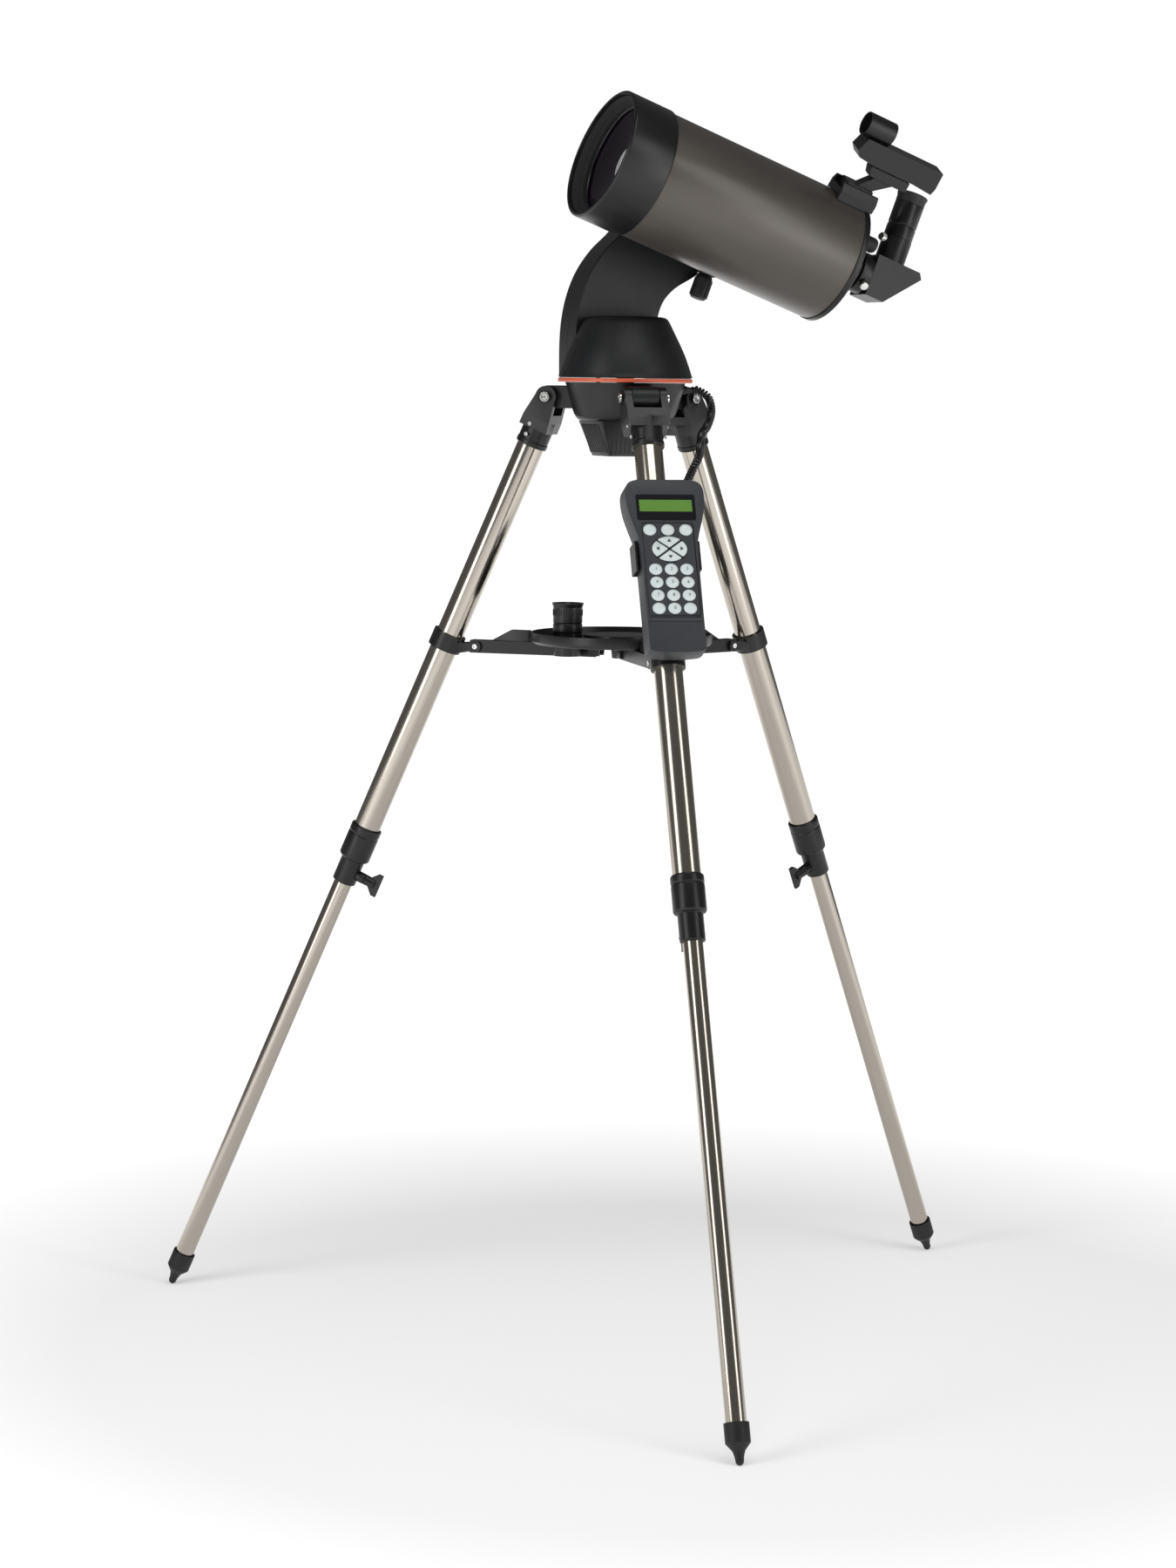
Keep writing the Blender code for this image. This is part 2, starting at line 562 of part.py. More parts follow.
def wing_screw(name, leg):
    """Wing-headed screw that locks the lower tube."""
    centre = (0.0, 0.0, -WING_PLACE)
    inward = along((-1.0, 0.0, 0.0), centre)
    tip = LOWER_TUBE_RADIUS + GAP
    collar = WING_BOSS_LENGTH + GAP
    head = collar + 13.0 * MM
    profile = [(0.0, head), (5.5 * MM, head), (6.5 * MM, collar), (3.0 * MM, collar), (3.0 * MM, tip)]
    profile.append((0.0, tip))
    screw = turned(f"wing_screw_{name}", profile, "black_plastic", leg, COARSE, inward)
    root = collar + 4.0 * MM
    blade = [(-4.5 * MM, root), (4.5 * MM, root), (WING_SPAN / 2.0, root + 9.0 * MM)]
    blade += [(WING_SPAN / 2.0, root + 15.0 * MM), (-WING_SPAN / 2.0, root + 15.0 * MM)]
    blade.append((-WING_SPAN / 2.0, root + 9.0 * MM))
    join(screw, plate(f"wing_blade_{name}", blade, -2.0 * MM, 2.0 * MM, "rubber", leg, "xz", inward))


def foot(name, leg):
    """Rubber foot pushed over the lower tube, with a rounded tip."""
    hole = LOWER_TUBE_RADIUS + GAP
    floor = -FOOT_TOP - FOOT_BODY + 4.5 * MM
    cone = -FOOT_TOP - FOOT_BODY
    neck = cone - FOOT_CONE
    tip = arc(0.0, -TIP_CENTRE, FOOT_TIP_RADIUS, 0.0, -90.0, 4)
    tip[-1] = (0.0, -TIP_CENTRE - FOOT_TIP_RADIUS)
    profile = [(0.0, floor), (hole, floor), (hole, -FOOT_TOP), (FOOT_RADIUS, -FOOT_TOP)]
    profile += [(FOOT_RADIUS, cone), (8.5 * MM, neck + 2.0 * MM), (6.8 * MM, neck)] + tip
    turned(f"foot_{name}", profile, "rubber", leg, MEDIUM)


# ================================================================ spreader
def link_pivot():
    """Spreader arm's pivot in the leg's own axes."""
    level = Vector((-math.cos(LEG_SPREAD), math.sin(LEG_SPREAD)))
    down = Vector((-math.sin(LEG_SPREAD), -math.cos(LEG_SPREAD)))
    return Vector((0.0, -COLLAR_PLACE)) + level * LINK_REACH + down * LINK_DROP


def spreader_collar(name, leg):
    """Clamp band on the upper tube with two link plates that carry the spreader arm."""
    bore = UPPER_TUBE_RADIUS + GAP
    outer = UPPER_TUBE_RADIUS + COLLAR_WALL
    low = -COLLAR_PLACE - COLLAR_HEIGHT / 2.0
    collar = pipe(f"spreader_collar_{name}", outer, bore, low, low + COLLAR_HEIGHT, "black_plastic", leg)
    pivot_x, pivot_z = link_pivot()
    half = LINK_HEIGHT / 2.0
    near = ARM_WIDTH / 2.0 + 2.0 * GAP
    far = near + LINK_THICKNESS
    root_x = -(bore + COLLAR_WALL / 2.0) * math.cos(math.asin(near / bore))
    turn = 90.0 + math.degrees(LEG_SPREAD)
    shape = arc(pivot_x, pivot_z, half, turn - 10.0, turn + 170.0, 8)
    lean = half * math.sin(LEG_SPREAD)
    root = -COLLAR_PLACE - LINK_DROP + lean
    shape += [(root_x, root - half), (root_x, root + half)]
    for sign in (-1.0, 1.0):
        sides = sorted((sign * near, sign * far))
        join(collar, plate(f"link_{name}_{sign:+.0f}", shape, *sides, "rubber", leg, "xz"))
    pin = along((0.0, 1.0, 0.0), (pivot_x, 0.0, pivot_z))
    reach = near + LINK_THICKNESS / 2.0
    join(collar, rod(f"link_pin_{name}", ARM_PIN_RADIUS, -reach, reach, "rubber", leg, 12, pin))


def spreader_arm(name, azimuth):
    """Channel-section arm from a leg's collar to the hub, with the hook block that holds the tray."""
    place = Matrix.Rotation(math.radians(azimuth), 4, "Z")
    drop = arm_level()
    outer = PIVOT_RADIUS + COLLAR_PLACE * math.sin(LEG_SPREAD) - LINK_REACH
    end = outer + ARM_HEIGHT / 2.0
    half = ARM_WIDTH / 2.0
    top = ARM_HEIGHT / 2.0
    inner = half - ARM_WALL
    section = [(-half, -top), (-inner, -top), (-inner, top - ARM_WALL), (inner, top - ARM_WALL)]
    section += [(inner, -top), (half, -top), (half, top), (-half, top)]
    holder = frame(f"spreader_pivot_{name}", (0.0, 0.0, drop), (0.0, 0.0, math.radians(azimuth)), BASE)
    arm = plate(f"spreader_arm_{name}", section, ARM_END_RADIUS, end, "black_plastic", holder, "yz")
    hole = along((0.0, 1.0, 0.0), (outer, 0.0, 0.0))
    size = ARM_PIN_RADIUS + PIN_CLEARANCE
    cut(arm, rod(f"arm_hole_{name}", size, -2 * half, 2 * half, "rubber", holder, 12, hole))
    near = TRAY_RADIUS + HOOK_GAP
    crown = top + HOOK_HEIGHT
    block = [(near, top - ARM_WALL / 2.0), (end - 24.0 * MM, top - ARM_WALL / 2.0)]
    block += [(near + 22.0 * MM, crown), (near, crown)]
    join(arm, plate(f"hook_block_{name}", block, -5.0 * MM, 5.0 * MM, "rubber", holder, "xz"))


def arm_level():
    """Height of the spreader arms' pivots, measured from the trim ring."""
    return -RING_ABOVE_PIVOT - COLLAR_PLACE * math.cos(LEG_SPREAD) - LINK_DROP


def tray_hub():
    """Hub under the tray: a plate on a boss, with a pair of ears hanging beside each arm's end."""
    level = frame("hub_level", (0.0, 0.0, arm_level()), parent=BASE)
    low = ARM_HEIGHT / 2.0 + HUB_HEADROOM
    high = low + HUB_PLATE_THICKNESS
    profile = [(0.0, high), (HUB_PLATE_RADIUS, high), (HUB_PLATE_RADIUS, low)]
    profile += [(HUB_BOSS_RADIUS, low), (HUB_BOSS_RADIUS - 2.0 * MM, -8.0 * MM), (0.0, -8.0 * MM)]
    hub = turned("tray_hub", profile, "black_plastic", level, MEDIUM)
    near = ARM_WIDTH / 2.0 + 2.0 * GAP
    for name, azimuth in LEGS.items():
        turn = Matrix.Rotation(math.radians(azimuth), 4, "Z")
        inner = HUB_BOSS_RADIUS + 9.0 * MM
        shape = [(inner, low + MM), (inner + 2.0 * MM, -6.0 * MM), (HUB_PLATE_RADIUS - 3.0 * MM, -6.0 * MM)]
        shape.append((HUB_PLATE_RADIUS - 2.0 * MM, low + MM))
        for sign in (-1.0, 1.0):
            sides = sorted((sign * near, sign * (near + 2.5 * MM)))
            join(hub, plate(f"hub_ear_{name}_{sign:+.0f}", shape, *sides, "rubber", level, "xz", turn))
    return level, high


def tray(level, seat):
    """Round accessory tray, raised in the middle over the hub, with holes for eyepieces."""
    crown = seat + GAP
    floor = ARM_HEIGHT / 2.0 + TRAY_CLEARANCE
    top = floor + TRAY_RIM_HEIGHT
    inner = TRAY_RADIUS - TRAY_WALL
    pocket = HUB_PLATE_RADIUS + MM
    wall = pocket + TRAY_WALL
    profile = [(0.0, crown + TRAY_FLOOR), (wall, crown + TRAY_FLOOR), (wall, floor + TRAY_FLOOR)]
    profile += [(inner, floor + TRAY_FLOOR), (inner, top), (TRAY_RADIUS, top)]
    profile += [(TRAY_RADIUS, floor + 3.0 * MM), (TRAY_RADIUS - 3.0 * MM, floor), (pocket, floor)]
    profile += [(pocket, crown), (0.0, crown)]
    dish = turned("eyepiece_tray", profile, "black_plastic", level)
    size = EYEPIECE_BARREL + BORE_CLEARANCE
    for i in range(TRAY_HOLES):
        angle = math.radians(TRAY_HOLE_AZIMUTH + 360.0 * i / TRAY_HOLES)
        spot = (TRAY_HOLE_CIRCLE * math.cos(angle), TRAY_HOLE_CIRCLE * math.sin(angle), 0.0)
        place = Matrix.Translation(spot)
        cut(dish, rod(f"tray_hole_{i}", size, floor - MM, top, "rubber", level, MEDIUM, place))
    return floor + TRAY_FLOOR + GAP


def spare_eyepiece(level, seat):
    """Eyepiece standing in one of the tray's holes."""
    angle = math.radians(TRAY_HOLE_AZIMUTH)
    spot = (TRAY_HOLE_CIRCLE * math.cos(angle), TRAY_HOLE_CIRCLE * math.sin(angle), seat)
    body = EYEPIECE_BODY_RADIUS
    top = SPARE_BODY
    profile = [
        (0.0, top - 6.0 * MM), (11.0 * MM, top - 6.0 * MM), (14.5 * MM, top), (CUP_RADIUS, top),
        (body, top - 4.5 * MM), (body, 11.0 * MM), (body - 0.8 * MM, 10.0 * MM), (body - 0.8 * MM, 0.0),
        (EYEPIECE_BARREL, 0.0), (EYEPIECE_BARREL, -SPARE_BARREL), (13.6 * MM, -SPARE_BARREL),
        (13.6 * MM, -6.0 * MM), (0.0, -6.0 * MM),
    ]
    turned("spare_eyepiece", profile, "black_metal", level, MEDIUM, Matrix.Translation(spot))


# ================================================================ mount base
def base_housing():
    """Fixed bowl under the trim ring, with a centre post, three leg lugs and the cord's socket."""
    top = -RING_HALF_HEIGHT - GAP
    low = -HOUSING_DEPTH
    outer = [(RING_RADIUS - 8.0 * MM, top), (66.0 * MM, -12.0 * MM), (63.0 * MM, -23.0 * MM)]
    outer += [(60.0 * MM, -34.0 * MM), (56.5 * MM, -41.5 * MM), (51.0 * MM, low), (0.0, low)]
    wall = HOUSING_WALL
    inner = [(0.0, 10.0 * MM), (POST_RADIUS, 10.0 * MM), (POST_RADIUS, low + wall), (49.0 * MM, low + wall)]
    inner += [(53.0 * MM, -40.0 * MM), (57.0 * MM, -33.0 * MM), (60.0 * MM, -22.0 * MM)]
    inner += [(63.0 * MM, -12.0 * MM), (66.0 * MM, top)]
    bowl = turned("base_housing", inner + outer, "charcoal_plastic", BASE)
    start = 57.0 * MM
    for name, azimuth in LEGS.items():
        turn = Matrix.Rotation(math.radians(azimuth), 4, "Z")
        turn = turn @ Matrix.Translation((0.0, 0.0, -RING_ABOVE_PIVOT))
        shape = [(start, -LUG_RADIUS)] + arc(PIVOT_RADIUS, 0.0, LUG_RADIUS, -90.0, 90.0, 8)
        shape.append((start, LUG_RADIUS))
        half = LUG_WIDTH / 2.0
        join(bowl, plate(f"leg_lug_{name}", shape, -half, half, "rubber", BASE, "xz", turn))
        hole = turn @ along((0.0, 1.0, 0.0), (PIVOT_RADIUS, 0.0, 0.0))
        size = PIVOT_PIN_RADIUS + PIN_CLEARANCE
        cut(bowl, rod(f"lug_hole_{name}", size, -2 * half, 2 * half, "rubber", BASE, COARSE, hole))
    side = (math.cos(CORD_SOCKET_AZIMUTH), math.sin(CORD_SOCKET_AZIMUTH), 0.0)
    exit_way = along(side, (0.0, 0.0, -CORD_SOCKET_DROP))
    reach = CORD_SOCKET_REACH
    join(bowl, rod("cord_socket", CORD_SOCKET_RADIUS, 63.5 * MM, reach, "rubber", BASE, COARSE, exit_way))


def trim_ring():
    """Coloured ring between the fixed base and the turning dome."""
    half = RING_HALF_HEIGHT
    inner = RING_RADIUS - RING_WIDTH
    profile = [(inner, half), (RING_RADIUS - 0.6 * MM, half), (RING_RADIUS, half - 0.8 * MM)]
    profile += [(RING_RADIUS, -half + 0.8 * MM), (RING_RADIUS - 0.6 * MM, -half), (inner, -half)]
    turned("trim_ring", profile, "orange_trim", BASE)


def battery_box():
    """Tapered battery compartment under the base, open towards the housing."""
    top = -HOUSING_DEPTH - GAP
    low = top - BATTERY_DEPTH
    shrink = (BATTERY_FOOT[0] / BATTERY_TOP[0], BATTERY_FOOT[1] / BATTERY_TOP[1])
    half_x, half_y = BATTERY_TOP
    outline = rounded(rectangle(-half_x, half_x, -half_y, half_y), 5.0 * MM, 3)
    box = plate("battery_box", outline, top, low, "black_plastic", BASE, top_scale=shrink)
    wall = BATTERY_WALL
    room = inset(outline, wall)
    cut(box, plate("battery_room", room, top + wall, low + wall, "rubber", BASE, top_scale=shrink))


def azimuth_gear():
    """Fixed gear on the centre post, round which the azimuth motor walks."""
    low = -9.0 * MM
    high = low + GEAR_THICKNESS
    depth = 1.2 * MM
    outline = []
    for tooth in range(2 * GEAR_TEETH):
        angle = math.pi * tooth / GEAR_TEETH
        radius = GEAR_RADIUS - depth * (tooth % 2)
        outline.append((radius * math.cos(angle), radius * math.sin(angle)))
    gear = plate("azimuth_gear", outline, low, high, "gear_metal", BASE)
    cut(gear, rod("gear_bore", POST_RADIUS + GAP, 2 * low, 0.0, "rubber", BASE, FINE))


def base_dome():
    """Turning cover above the trim ring, hollow, with its back left open for the fork arm."""
    low = RING_HALF_HEIGHT + GAP
    top = DOME_HEIGHT
    outer = [(0.0, top), (40.0 * MM, top), (45.5 * MM, top - 1.2 * MM), (49.0 * MM, top - 4.5 * MM)]
    outer += [(53.0 * MM, 60.0 * MM), (58.5 * MM, 49.0 * MM), (65.0 * MM, 35.5 * MM), (71.0 * MM, 21.0 * MM)]
    outer += [(74.5 * MM, 11.0 * MM), (RING_RADIUS, low + 1.4 * MM), (RING_RADIUS - 1.5 * MM, low + 1.0 * MM)]
    outer.append((RING_RADIUS - 1.5 * MM, low))
    wall = DOME_WALL
    inner = [(radius - wall, height) for radius, height in reversed(outer[5:8])]
    inner = [(RING_RADIUS - 1.5 * MM - wall, low)] + inner
    inner += [(45.0 * MM, top - 1.7 * wall), (38.0 * MM, top - wall), (0.0, top - wall)]
    dome = turned("base_dome", outer + inner, "charcoal_plastic", BASE)
    back = [(ARM_LEFT - GAP, -MM), (ARM_RIGHT + GAP, -MM)]
    back += [(ARM_RIGHT + GAP, 2 * top), (ARM_LEFT - GAP, 2 * top)]
    start = ARM_INNER_FACE - GAP
    cut(dome, plate("dome_back", back, start, 2 * RING_RADIUS, "rubber", BASE, "xz"))


def fork_outline():
    """Side view of the fork arm, counter-clockwise in X and Z."""
    low = RING_HALF_HEIGHT + 4.0 * GAP
    head = arc(ALTITUDE_X, ALTITUDE_Z, ARM_HEAD_RADIUS, -72.0, 158.0, 16)
    neck = [(8.0 * MM, 176.0 * MM), (-18.0 * MM, 150.0 * MM), (-35.0 * MM, 127.0 * MM)]
    neck += [(-46.0 * MM, 103.0 * MM), (-53.0 * MM, 76.0 * MM), (ARM_LEFT, 45.0 * MM), (ARM_LEFT, low)]
    throat = [(ARM_RIGHT, low), (47.0 * MM, 40.0 * MM), (47.5 * MM, 68.0 * MM), (53.0 * MM, 87.0 * MM)]
    throat += [(61.5 * MM, 99.0 * MM), (73.0 * MM, 108.5 * MM), (90.0 * MM, 118.0 * MM)]
    return head + neck + throat


def fork_shell(name, near, far, open_side, look):
    """One hollow half of the fork arm, open at the seam."""
    outline = fork_outline()
    shell = plate(name, outline, near, far, look, BASE, "xz")
    room = inset(outline, ARM_SHELL_WALL)
    if open_side > 0.0:
        depths = (near + ARM_SHELL_WALL, far + MM)
    else:
        depths = (near - MM, far - ARM_SHELL_WALL)
    return cut(shell, plate(f"{name}_room", room, *depths, "rubber", BASE, "xz"))


def fork_arm():
    """The arm's inner and outer shells; the inner one has the altitude axle's hole."""
    seam = ARM_INNER_FACE + ARM_SEAM
    inner = fork_shell("arm_inner_shell", ARM_INNER_FACE, seam, 1.0, "charcoal_plastic")
    hole = along((0.0, 1.0, 0.0), (ALTITUDE_X, 0.0, ALTITUDE_Z))
    size = AXLE_RADIUS + PIN_CLEARANCE
    cut(inner, rod("axle_hole", size, 0.0, seam, "rubber", BASE, MEDIUM, hole))
    outer = ARM_INNER_FACE + ARM_THICKNESS
    shell = fork_shell("arm_outer_shell", seam + GAP, outer, -1.0, "charcoal_plastic")
    edge = shell.modifiers.new("soft outer edge", "BEVEL")
    edge.width = 6.0 * MM
    edge.segments = 2
    edge.limit_method = "WEIGHT"
    weights = shell.data.attributes.new("bevel_weight_edge", "FLOAT", "EDGE")
    for link in shell.data.edges:
        ends = [shell.data.vertices[i].co.y for i in link.vertices]
        weights.data[link.index].value = float(min(ends) > outer - 0.01 * MM)
    while shell.modifiers[0] != edge:
        shell.modifiers.move(shell.modifiers.find(edge.name), 0)


def motors():
    """Geared motors of the two axes, each a case with its output shaft."""
    case = plate(
        "azimuth_motor", rectangle(-50.0 * MM, -18.0 * MM, -34.0 * MM, -8.0 * MM),
        12.0 * MM, 38.0 * MM, "black_metal", BASE,
    )
    shaft = Matrix.Translation((-(GEAR_RADIUS + 3.0 * MM), -21.0 * MM, 0.0))
    join(case, rod("azimuth_shaft", 2.5 * MM, -8.0 * MM, 13.0 * MM, "rubber", BASE, 12, shaft))
    near = ARM_INNER_FACE + ARM_SHELL_WALL + 3.0 * MM
    lift = plate(
        "altitude_motor", rectangle(20.0 * MM, 46.0 * MM, 118.0 * MM, 160.0 * MM),
        near + 5.0 * MM, near + 30.0 * MM, "black_metal", BASE, "xz",
    )
    spot = along((0.0, 1.0, 0.0), (38.0 * MM, 0.0, 152.0 * MM))
    join(lift, rod("altitude_shaft", 2.5 * MM, near, near + 6.0 * MM, "rubber", BASE, 12, spot))


# ================================================================ altitude axis and tube clamp
def clamp_faces():
    """Distances from the tube axis of the bar's back, the clamp's seat and the clamp's back."""
    back = ARM_INNER_FACE - TUBE_SIDE - 2.0 * GAP
    seat = back - CLAMP_PLATE
    return seat - GAP, seat, back


def altitude_wheel():
    """Axle of the altitude axis with its wheel inside the fork arm."""
    _, _, back = clamp_faces()
    start = back - 5.0 * MM
    end = AXLE_END - TUBE_SIDE
    disc = end - 6.0 * MM
    profile = [(0.0, end), (WHEEL_RADIUS, end), (WHEEL_RADIUS, disc), (AXLE_RADIUS, disc)]
    profile += [(AXLE_RADIUS, start), (0.0, start)]
    turned("altitude_wheel", profile, "gear_metal", TUBE, 36, along((0.0, 1.0, 0.0)))


def tube_clamp():
    """Saddle that grips the dovetail bar between two jaws, with a boss for the clamp knob."""
    bar_back, seat, back = clamp_faces()
    outline = rectangle(-CLAMP_HALF_HEIGHT, CLAMP_HALF_HEIGHT, -CLAMP_HALF_LENGTH, CLAMP_HALF_LENGTH)
    clamp = plate("tube_clamp", rounded(outline, 8.0 * MM, 3), seat, back, "black_metal", TUBE, "xz")
    cut(clamp, rod("axle_seat", AXLE_RADIUS + GAP, back - 5.0 * MM - GAP, 2 * back, "rubber", TUBE,
                   MEDIUM, along((0.0, 1.0, 0.0))))
    for sign in (-1.0, 1.0):
        jaw = [(sign * (BAR_HALF + GAP), seat + MM), (sign * (BAR_HALF + GAP), seat - GAP)]
        lip = BAR_NECK + GAP + (BAR_HALF - BAR_NECK) * 2.0 * MM / BAR_THICKNESS
        jaw += [(sign * lip, bar_back - BAR_THICKNESS + 2.0 * MM)]
        jaw += [(sign * 33.0 * MM, bar_back - BAR_THICKNESS + 2.0 * MM), (sign * 37.0 * MM, seat + MM)]
        size = 0.85 * CLAMP_HALF_LENGTH
        join(clamp, plate(f"jaw_{sign:+.0f}", jaw, -size, size, "rubber", TUBE))
    reach = CLAMP_HALF_HEIGHT - 4.0 * MM
    deep = (KNOB_RADIUS - 1.5 * MM) * 2.0
    boss = rounded(rectangle(-KNOB_TOP + 2 * GAP, -reach, KNOB_PLACE - 10 * MM, KNOB_PLACE + 10 * MM), 2 * MM, 2)
    join(clamp, plate("knob_boss", boss, back - 1.0 * MM - deep, back - 1.0 * MM, "rubber", TUBE, "xz"))
    hole = along((-1.0, 0.0, 0.0), (0.0, knob_side(), KNOB_PLACE))
    cut(clamp, rod("knob_hole", 3.3 * MM, reach + 8.0 * MM, 2 * KNOB_TOP, "rubber", TUBE, 16, hole))


def knob_side():
    """Distance of the clamp knob's axis from the tube axis."""
    _, _, back = clamp_faces()
    return back - KNOB_RADIUS - 1.5 * MM


def clamp_knob():
    """Knob under the saddle that tightens its lower jaw."""
    top = KNOB_TOP
    end = top + KNOB_LENGTH
    profile = [(0.0, end), (KNOB_RADIUS - 2.0 * MM, end), (KNOB_RADIUS, end - 2.5 * MM)]
    profile += [(KNOB_RADIUS, top + 4.0 * MM), (KNOB_RADIUS - 3.0 * MM, top), (3.0 * MM, top)]
    profile += [(3.0 * MM, CLAMP_HALF_HEIGHT + 5.0 * MM), (0.0, CLAMP_HALF_HEIGHT + 5.0 * MM)]
    place = along((-1.0, 0.0, 0.0), (0.0, knob_side(), KNOB_PLACE))
    turned("clamp_knob", profile, "rubber", TUBE, MEDIUM, place)


def dovetail_bar():
    """Bar screwed to the side of the tube, flared towards the clamp."""
    bar_back, _, _ = clamp_faces()
    face = bar_back - BAR_THICKNESS
    inner = TUBE_RADIUS * math.cos(math.asin(BAR_NECK / TUBE_RADIUS)) - MM
    outline = [(-BAR_NECK, inner), (-BAR_NECK, face), (-BAR_HALF, bar_back), (BAR_HALF, bar_back)]
    outline += [(BAR_NECK, face), (BAR_NECK, inner)]
    size = BAR_HALF_LENGTH
    bar = plate("dovetail_bar", outline, -size, size, "black_metal", TUBE)
    cut(bar, rod("bar_seat", TUBE_RADIUS + GAP, -2 * size, 2 * size, "rubber", TUBE, 2 * FINE))


# ================================================================ optical tube
def lens_sag(radius):
    """How far the lens's face stands forward at a radius."""
    return LENS_CURVE - math.sqrt(LENS_CURVE**2 - radius**2)


def barrel():
    """Thin painted tube between the two cells."""
    front = TUBE_FRONT - FRONT_CELL_LENGTH - GAP
    back = -TUBE_BACK + BACK_CELL_LENGTH + GAP
    pipe("tube_barrel", TUBE_RADIUS, TUBE_RADIUS - BARREL_WALL, back, front, "barrel_paint", TUBE, FINE)


def front_cell():
    """Black front ring that holds the lens between a shoulder and a lip."""
    lip = TUBE_FRONT
    low = lip - FRONT_CELL_LENGTH
    middle = lip - LENS_DEPTH
    rim = middle + lens_sag(LENS_RADIUS)
    shoulder = middle - LENS_THICKNESS + lens_sag(LENS_RADIUS - 4.0 * MM) - GAP
    bore = LENS_RADIUS + GAP
    spigot = TUBE_RADIUS - BARREL_WALL - GAP
    radius = FRONT_CELL_RADIUS
    profile = [
        (radius - 2.0 * MM, lip), (radius, lip - 2.0 * MM), (radius, low + MM), (radius - MM, low),
        (spigot, low), (spigot, low - SPIGOT_LENGTH), (spigot - 3.0 * MM, low - SPIGOT_LENGTH),
        (bore - 3.0 * MM, shoulder - 6.0 * MM), (bore - 3.0 * MM, shoulder), (bore, shoulder + MM),
        (bore, rim + GAP), (bore - 3.0 * MM, rim + 2 * GAP), (bore - 2.0 * MM, rim + 4.0 * MM),
        (bore + 4.0 * MM, rim + 6.0 * MM), (radius - 4.5 * MM, lip - 3.0 * MM), (radius - 4.5 * MM, lip),
    ]
    turned("front_cell", profile, "black_metal", TUBE)


def corrector_lens():
    """Deep meniscus, hollow towards the sky."""
    middle = TUBE_FRONT - LENS_DEPTH
    radii = [LENS_RADIUS * i / 4.0 for i in range(5)]
    front = [(radius, middle + lens_sag(radius)) for radius in radii]
    back = [(radius, middle - LENS_THICKNESS + lens_sag(radius)) for radius in reversed(radii)]
    turned("corrector_lens", front + back, "coated_glass", TUBE, 36)


def back_cell():
    """Back plate with the baffle tube on which the mirror slides and the focus screw's hole."""
    plate_back = -TUBE_BACK
    lip = plate_back + BACK_CELL_LENGTH
    inside = plate_back + 4.0 * MM
    spigot = TUBE_RADIUS - BARREL_WALL - GAP
    baffle_top = inside + BAFFLE_LENGTH
    profile = [
        (BACK_CELL_RADIUS, lip), (BACK_CELL_RADIUS, plate_back + MM), (BACK_CELL_RADIUS - MM, plate_back),
        (BAFFLE_BORE, plate_back), (BAFFLE_BORE, baffle_top), (BAFFLE_BORE + 1.2 * MM, baffle_top),
        (BAFFLE_RADIUS, baffle_top - 20.0 * MM), (BAFFLE_RADIUS, inside), (spigot - 3.0 * MM, inside),
        (spigot - 3.0 * MM, lip + SPIGOT_LENGTH), (spigot, lip + SPIGOT_LENGTH), (spigot, lip),
    ]
    cell = turned("back_cell", profile, "black_metal", TUBE)
    spot = Matrix.Translation((FOCUS_UP, FOCUS_SIDE, 0.0))
    cut(cell, rod("focus_hole", 3.0 * MM + PIN_CLEARANCE, 2 * plate_back, 0.0, "rubber", TUBE, 16, spot))


def primary_mirror():
    """Hollow mirror that slides on the baffle tube when the focus knob turns."""
    back = -TUBE_BACK + MIRROR_PLACE
    bore = BAFFLE_RADIUS + SLIDE_CLEARANCE
    radii = [bore + (MIRROR_RADIUS - bore) * i / 3.0 for i in range(4)]
    face = back + MIRROR_THICKNESS
    front = [(radius, face + radius**2 / (2.0 * MIRROR_CURVE)) for radius in radii]
    profile = front + [(MIRROR_RADIUS, back + 3.0 * MM), (MIRROR_RADIUS - 8.0 * MM, back), (bore, back)]
    turned("primary_mirror", profile, "mirror_glass", TUBE, 36)


def visual_back():
    """Threaded neck on the back plate that takes the diagonal's nose."""
    front = -TUBE_BACK - GAP
    step = front - BACK_NECK_LENGTH
    end = step - BACK_COLLAR_LENGTH
    bore = EYEPIECE_BARREL + BORE_CLEARANCE
    flange = BACK_COLLAR_RADIUS + MM
    profile = [
        (bore, front), (flange, front), (flange, front - 4.0 * MM), (BACK_NECK_RADIUS, front - 5.0 * MM),
        (BACK_NECK_RADIUS, step), (BACK_COLLAR_RADIUS, step - MM), (BACK_COLLAR_RADIUS, end + MM),
        (BACK_COLLAR_RADIUS - MM, end), (bore, end),
    ]
    neck = turned("visual_back", profile, "black_metal", TUBE, 36)
    hole = back_screw_place()
    cut(neck, rod("back_screw_hole", 2.2 * MM, 5.0 * MM, 50.0 * MM, "rubber", TUBE, 12, hole))


def back_screw_place():
    """Matrix of the visual back's thumb screw, whose axis points away from the tube axis."""
    height = -TUBE_BACK - GAP - BACK_NECK_LENGTH - BACK_COLLAR_LENGTH / 2.0
    return along((math.cos(SCREW_ANGLE), math.sin(SCREW_ANGLE), 0.0), (0.0, 0.0, height))


def thumb_screw(name, wall, tip, place, parent):
    """Small knurled-head screw that locks a round nose in its holder."""
    head = wall + 2.5 * MM
    profile = [(0.0, head + 7.0 * MM), (5.0 * MM, head + 7.0 * MM), (5.0 * MM, head), (1.9 * MM, head)]
    profile += [(1.9 * MM, tip), (0.0, tip)]
    turned(name, profile, "chrome", parent, COARSE, place)


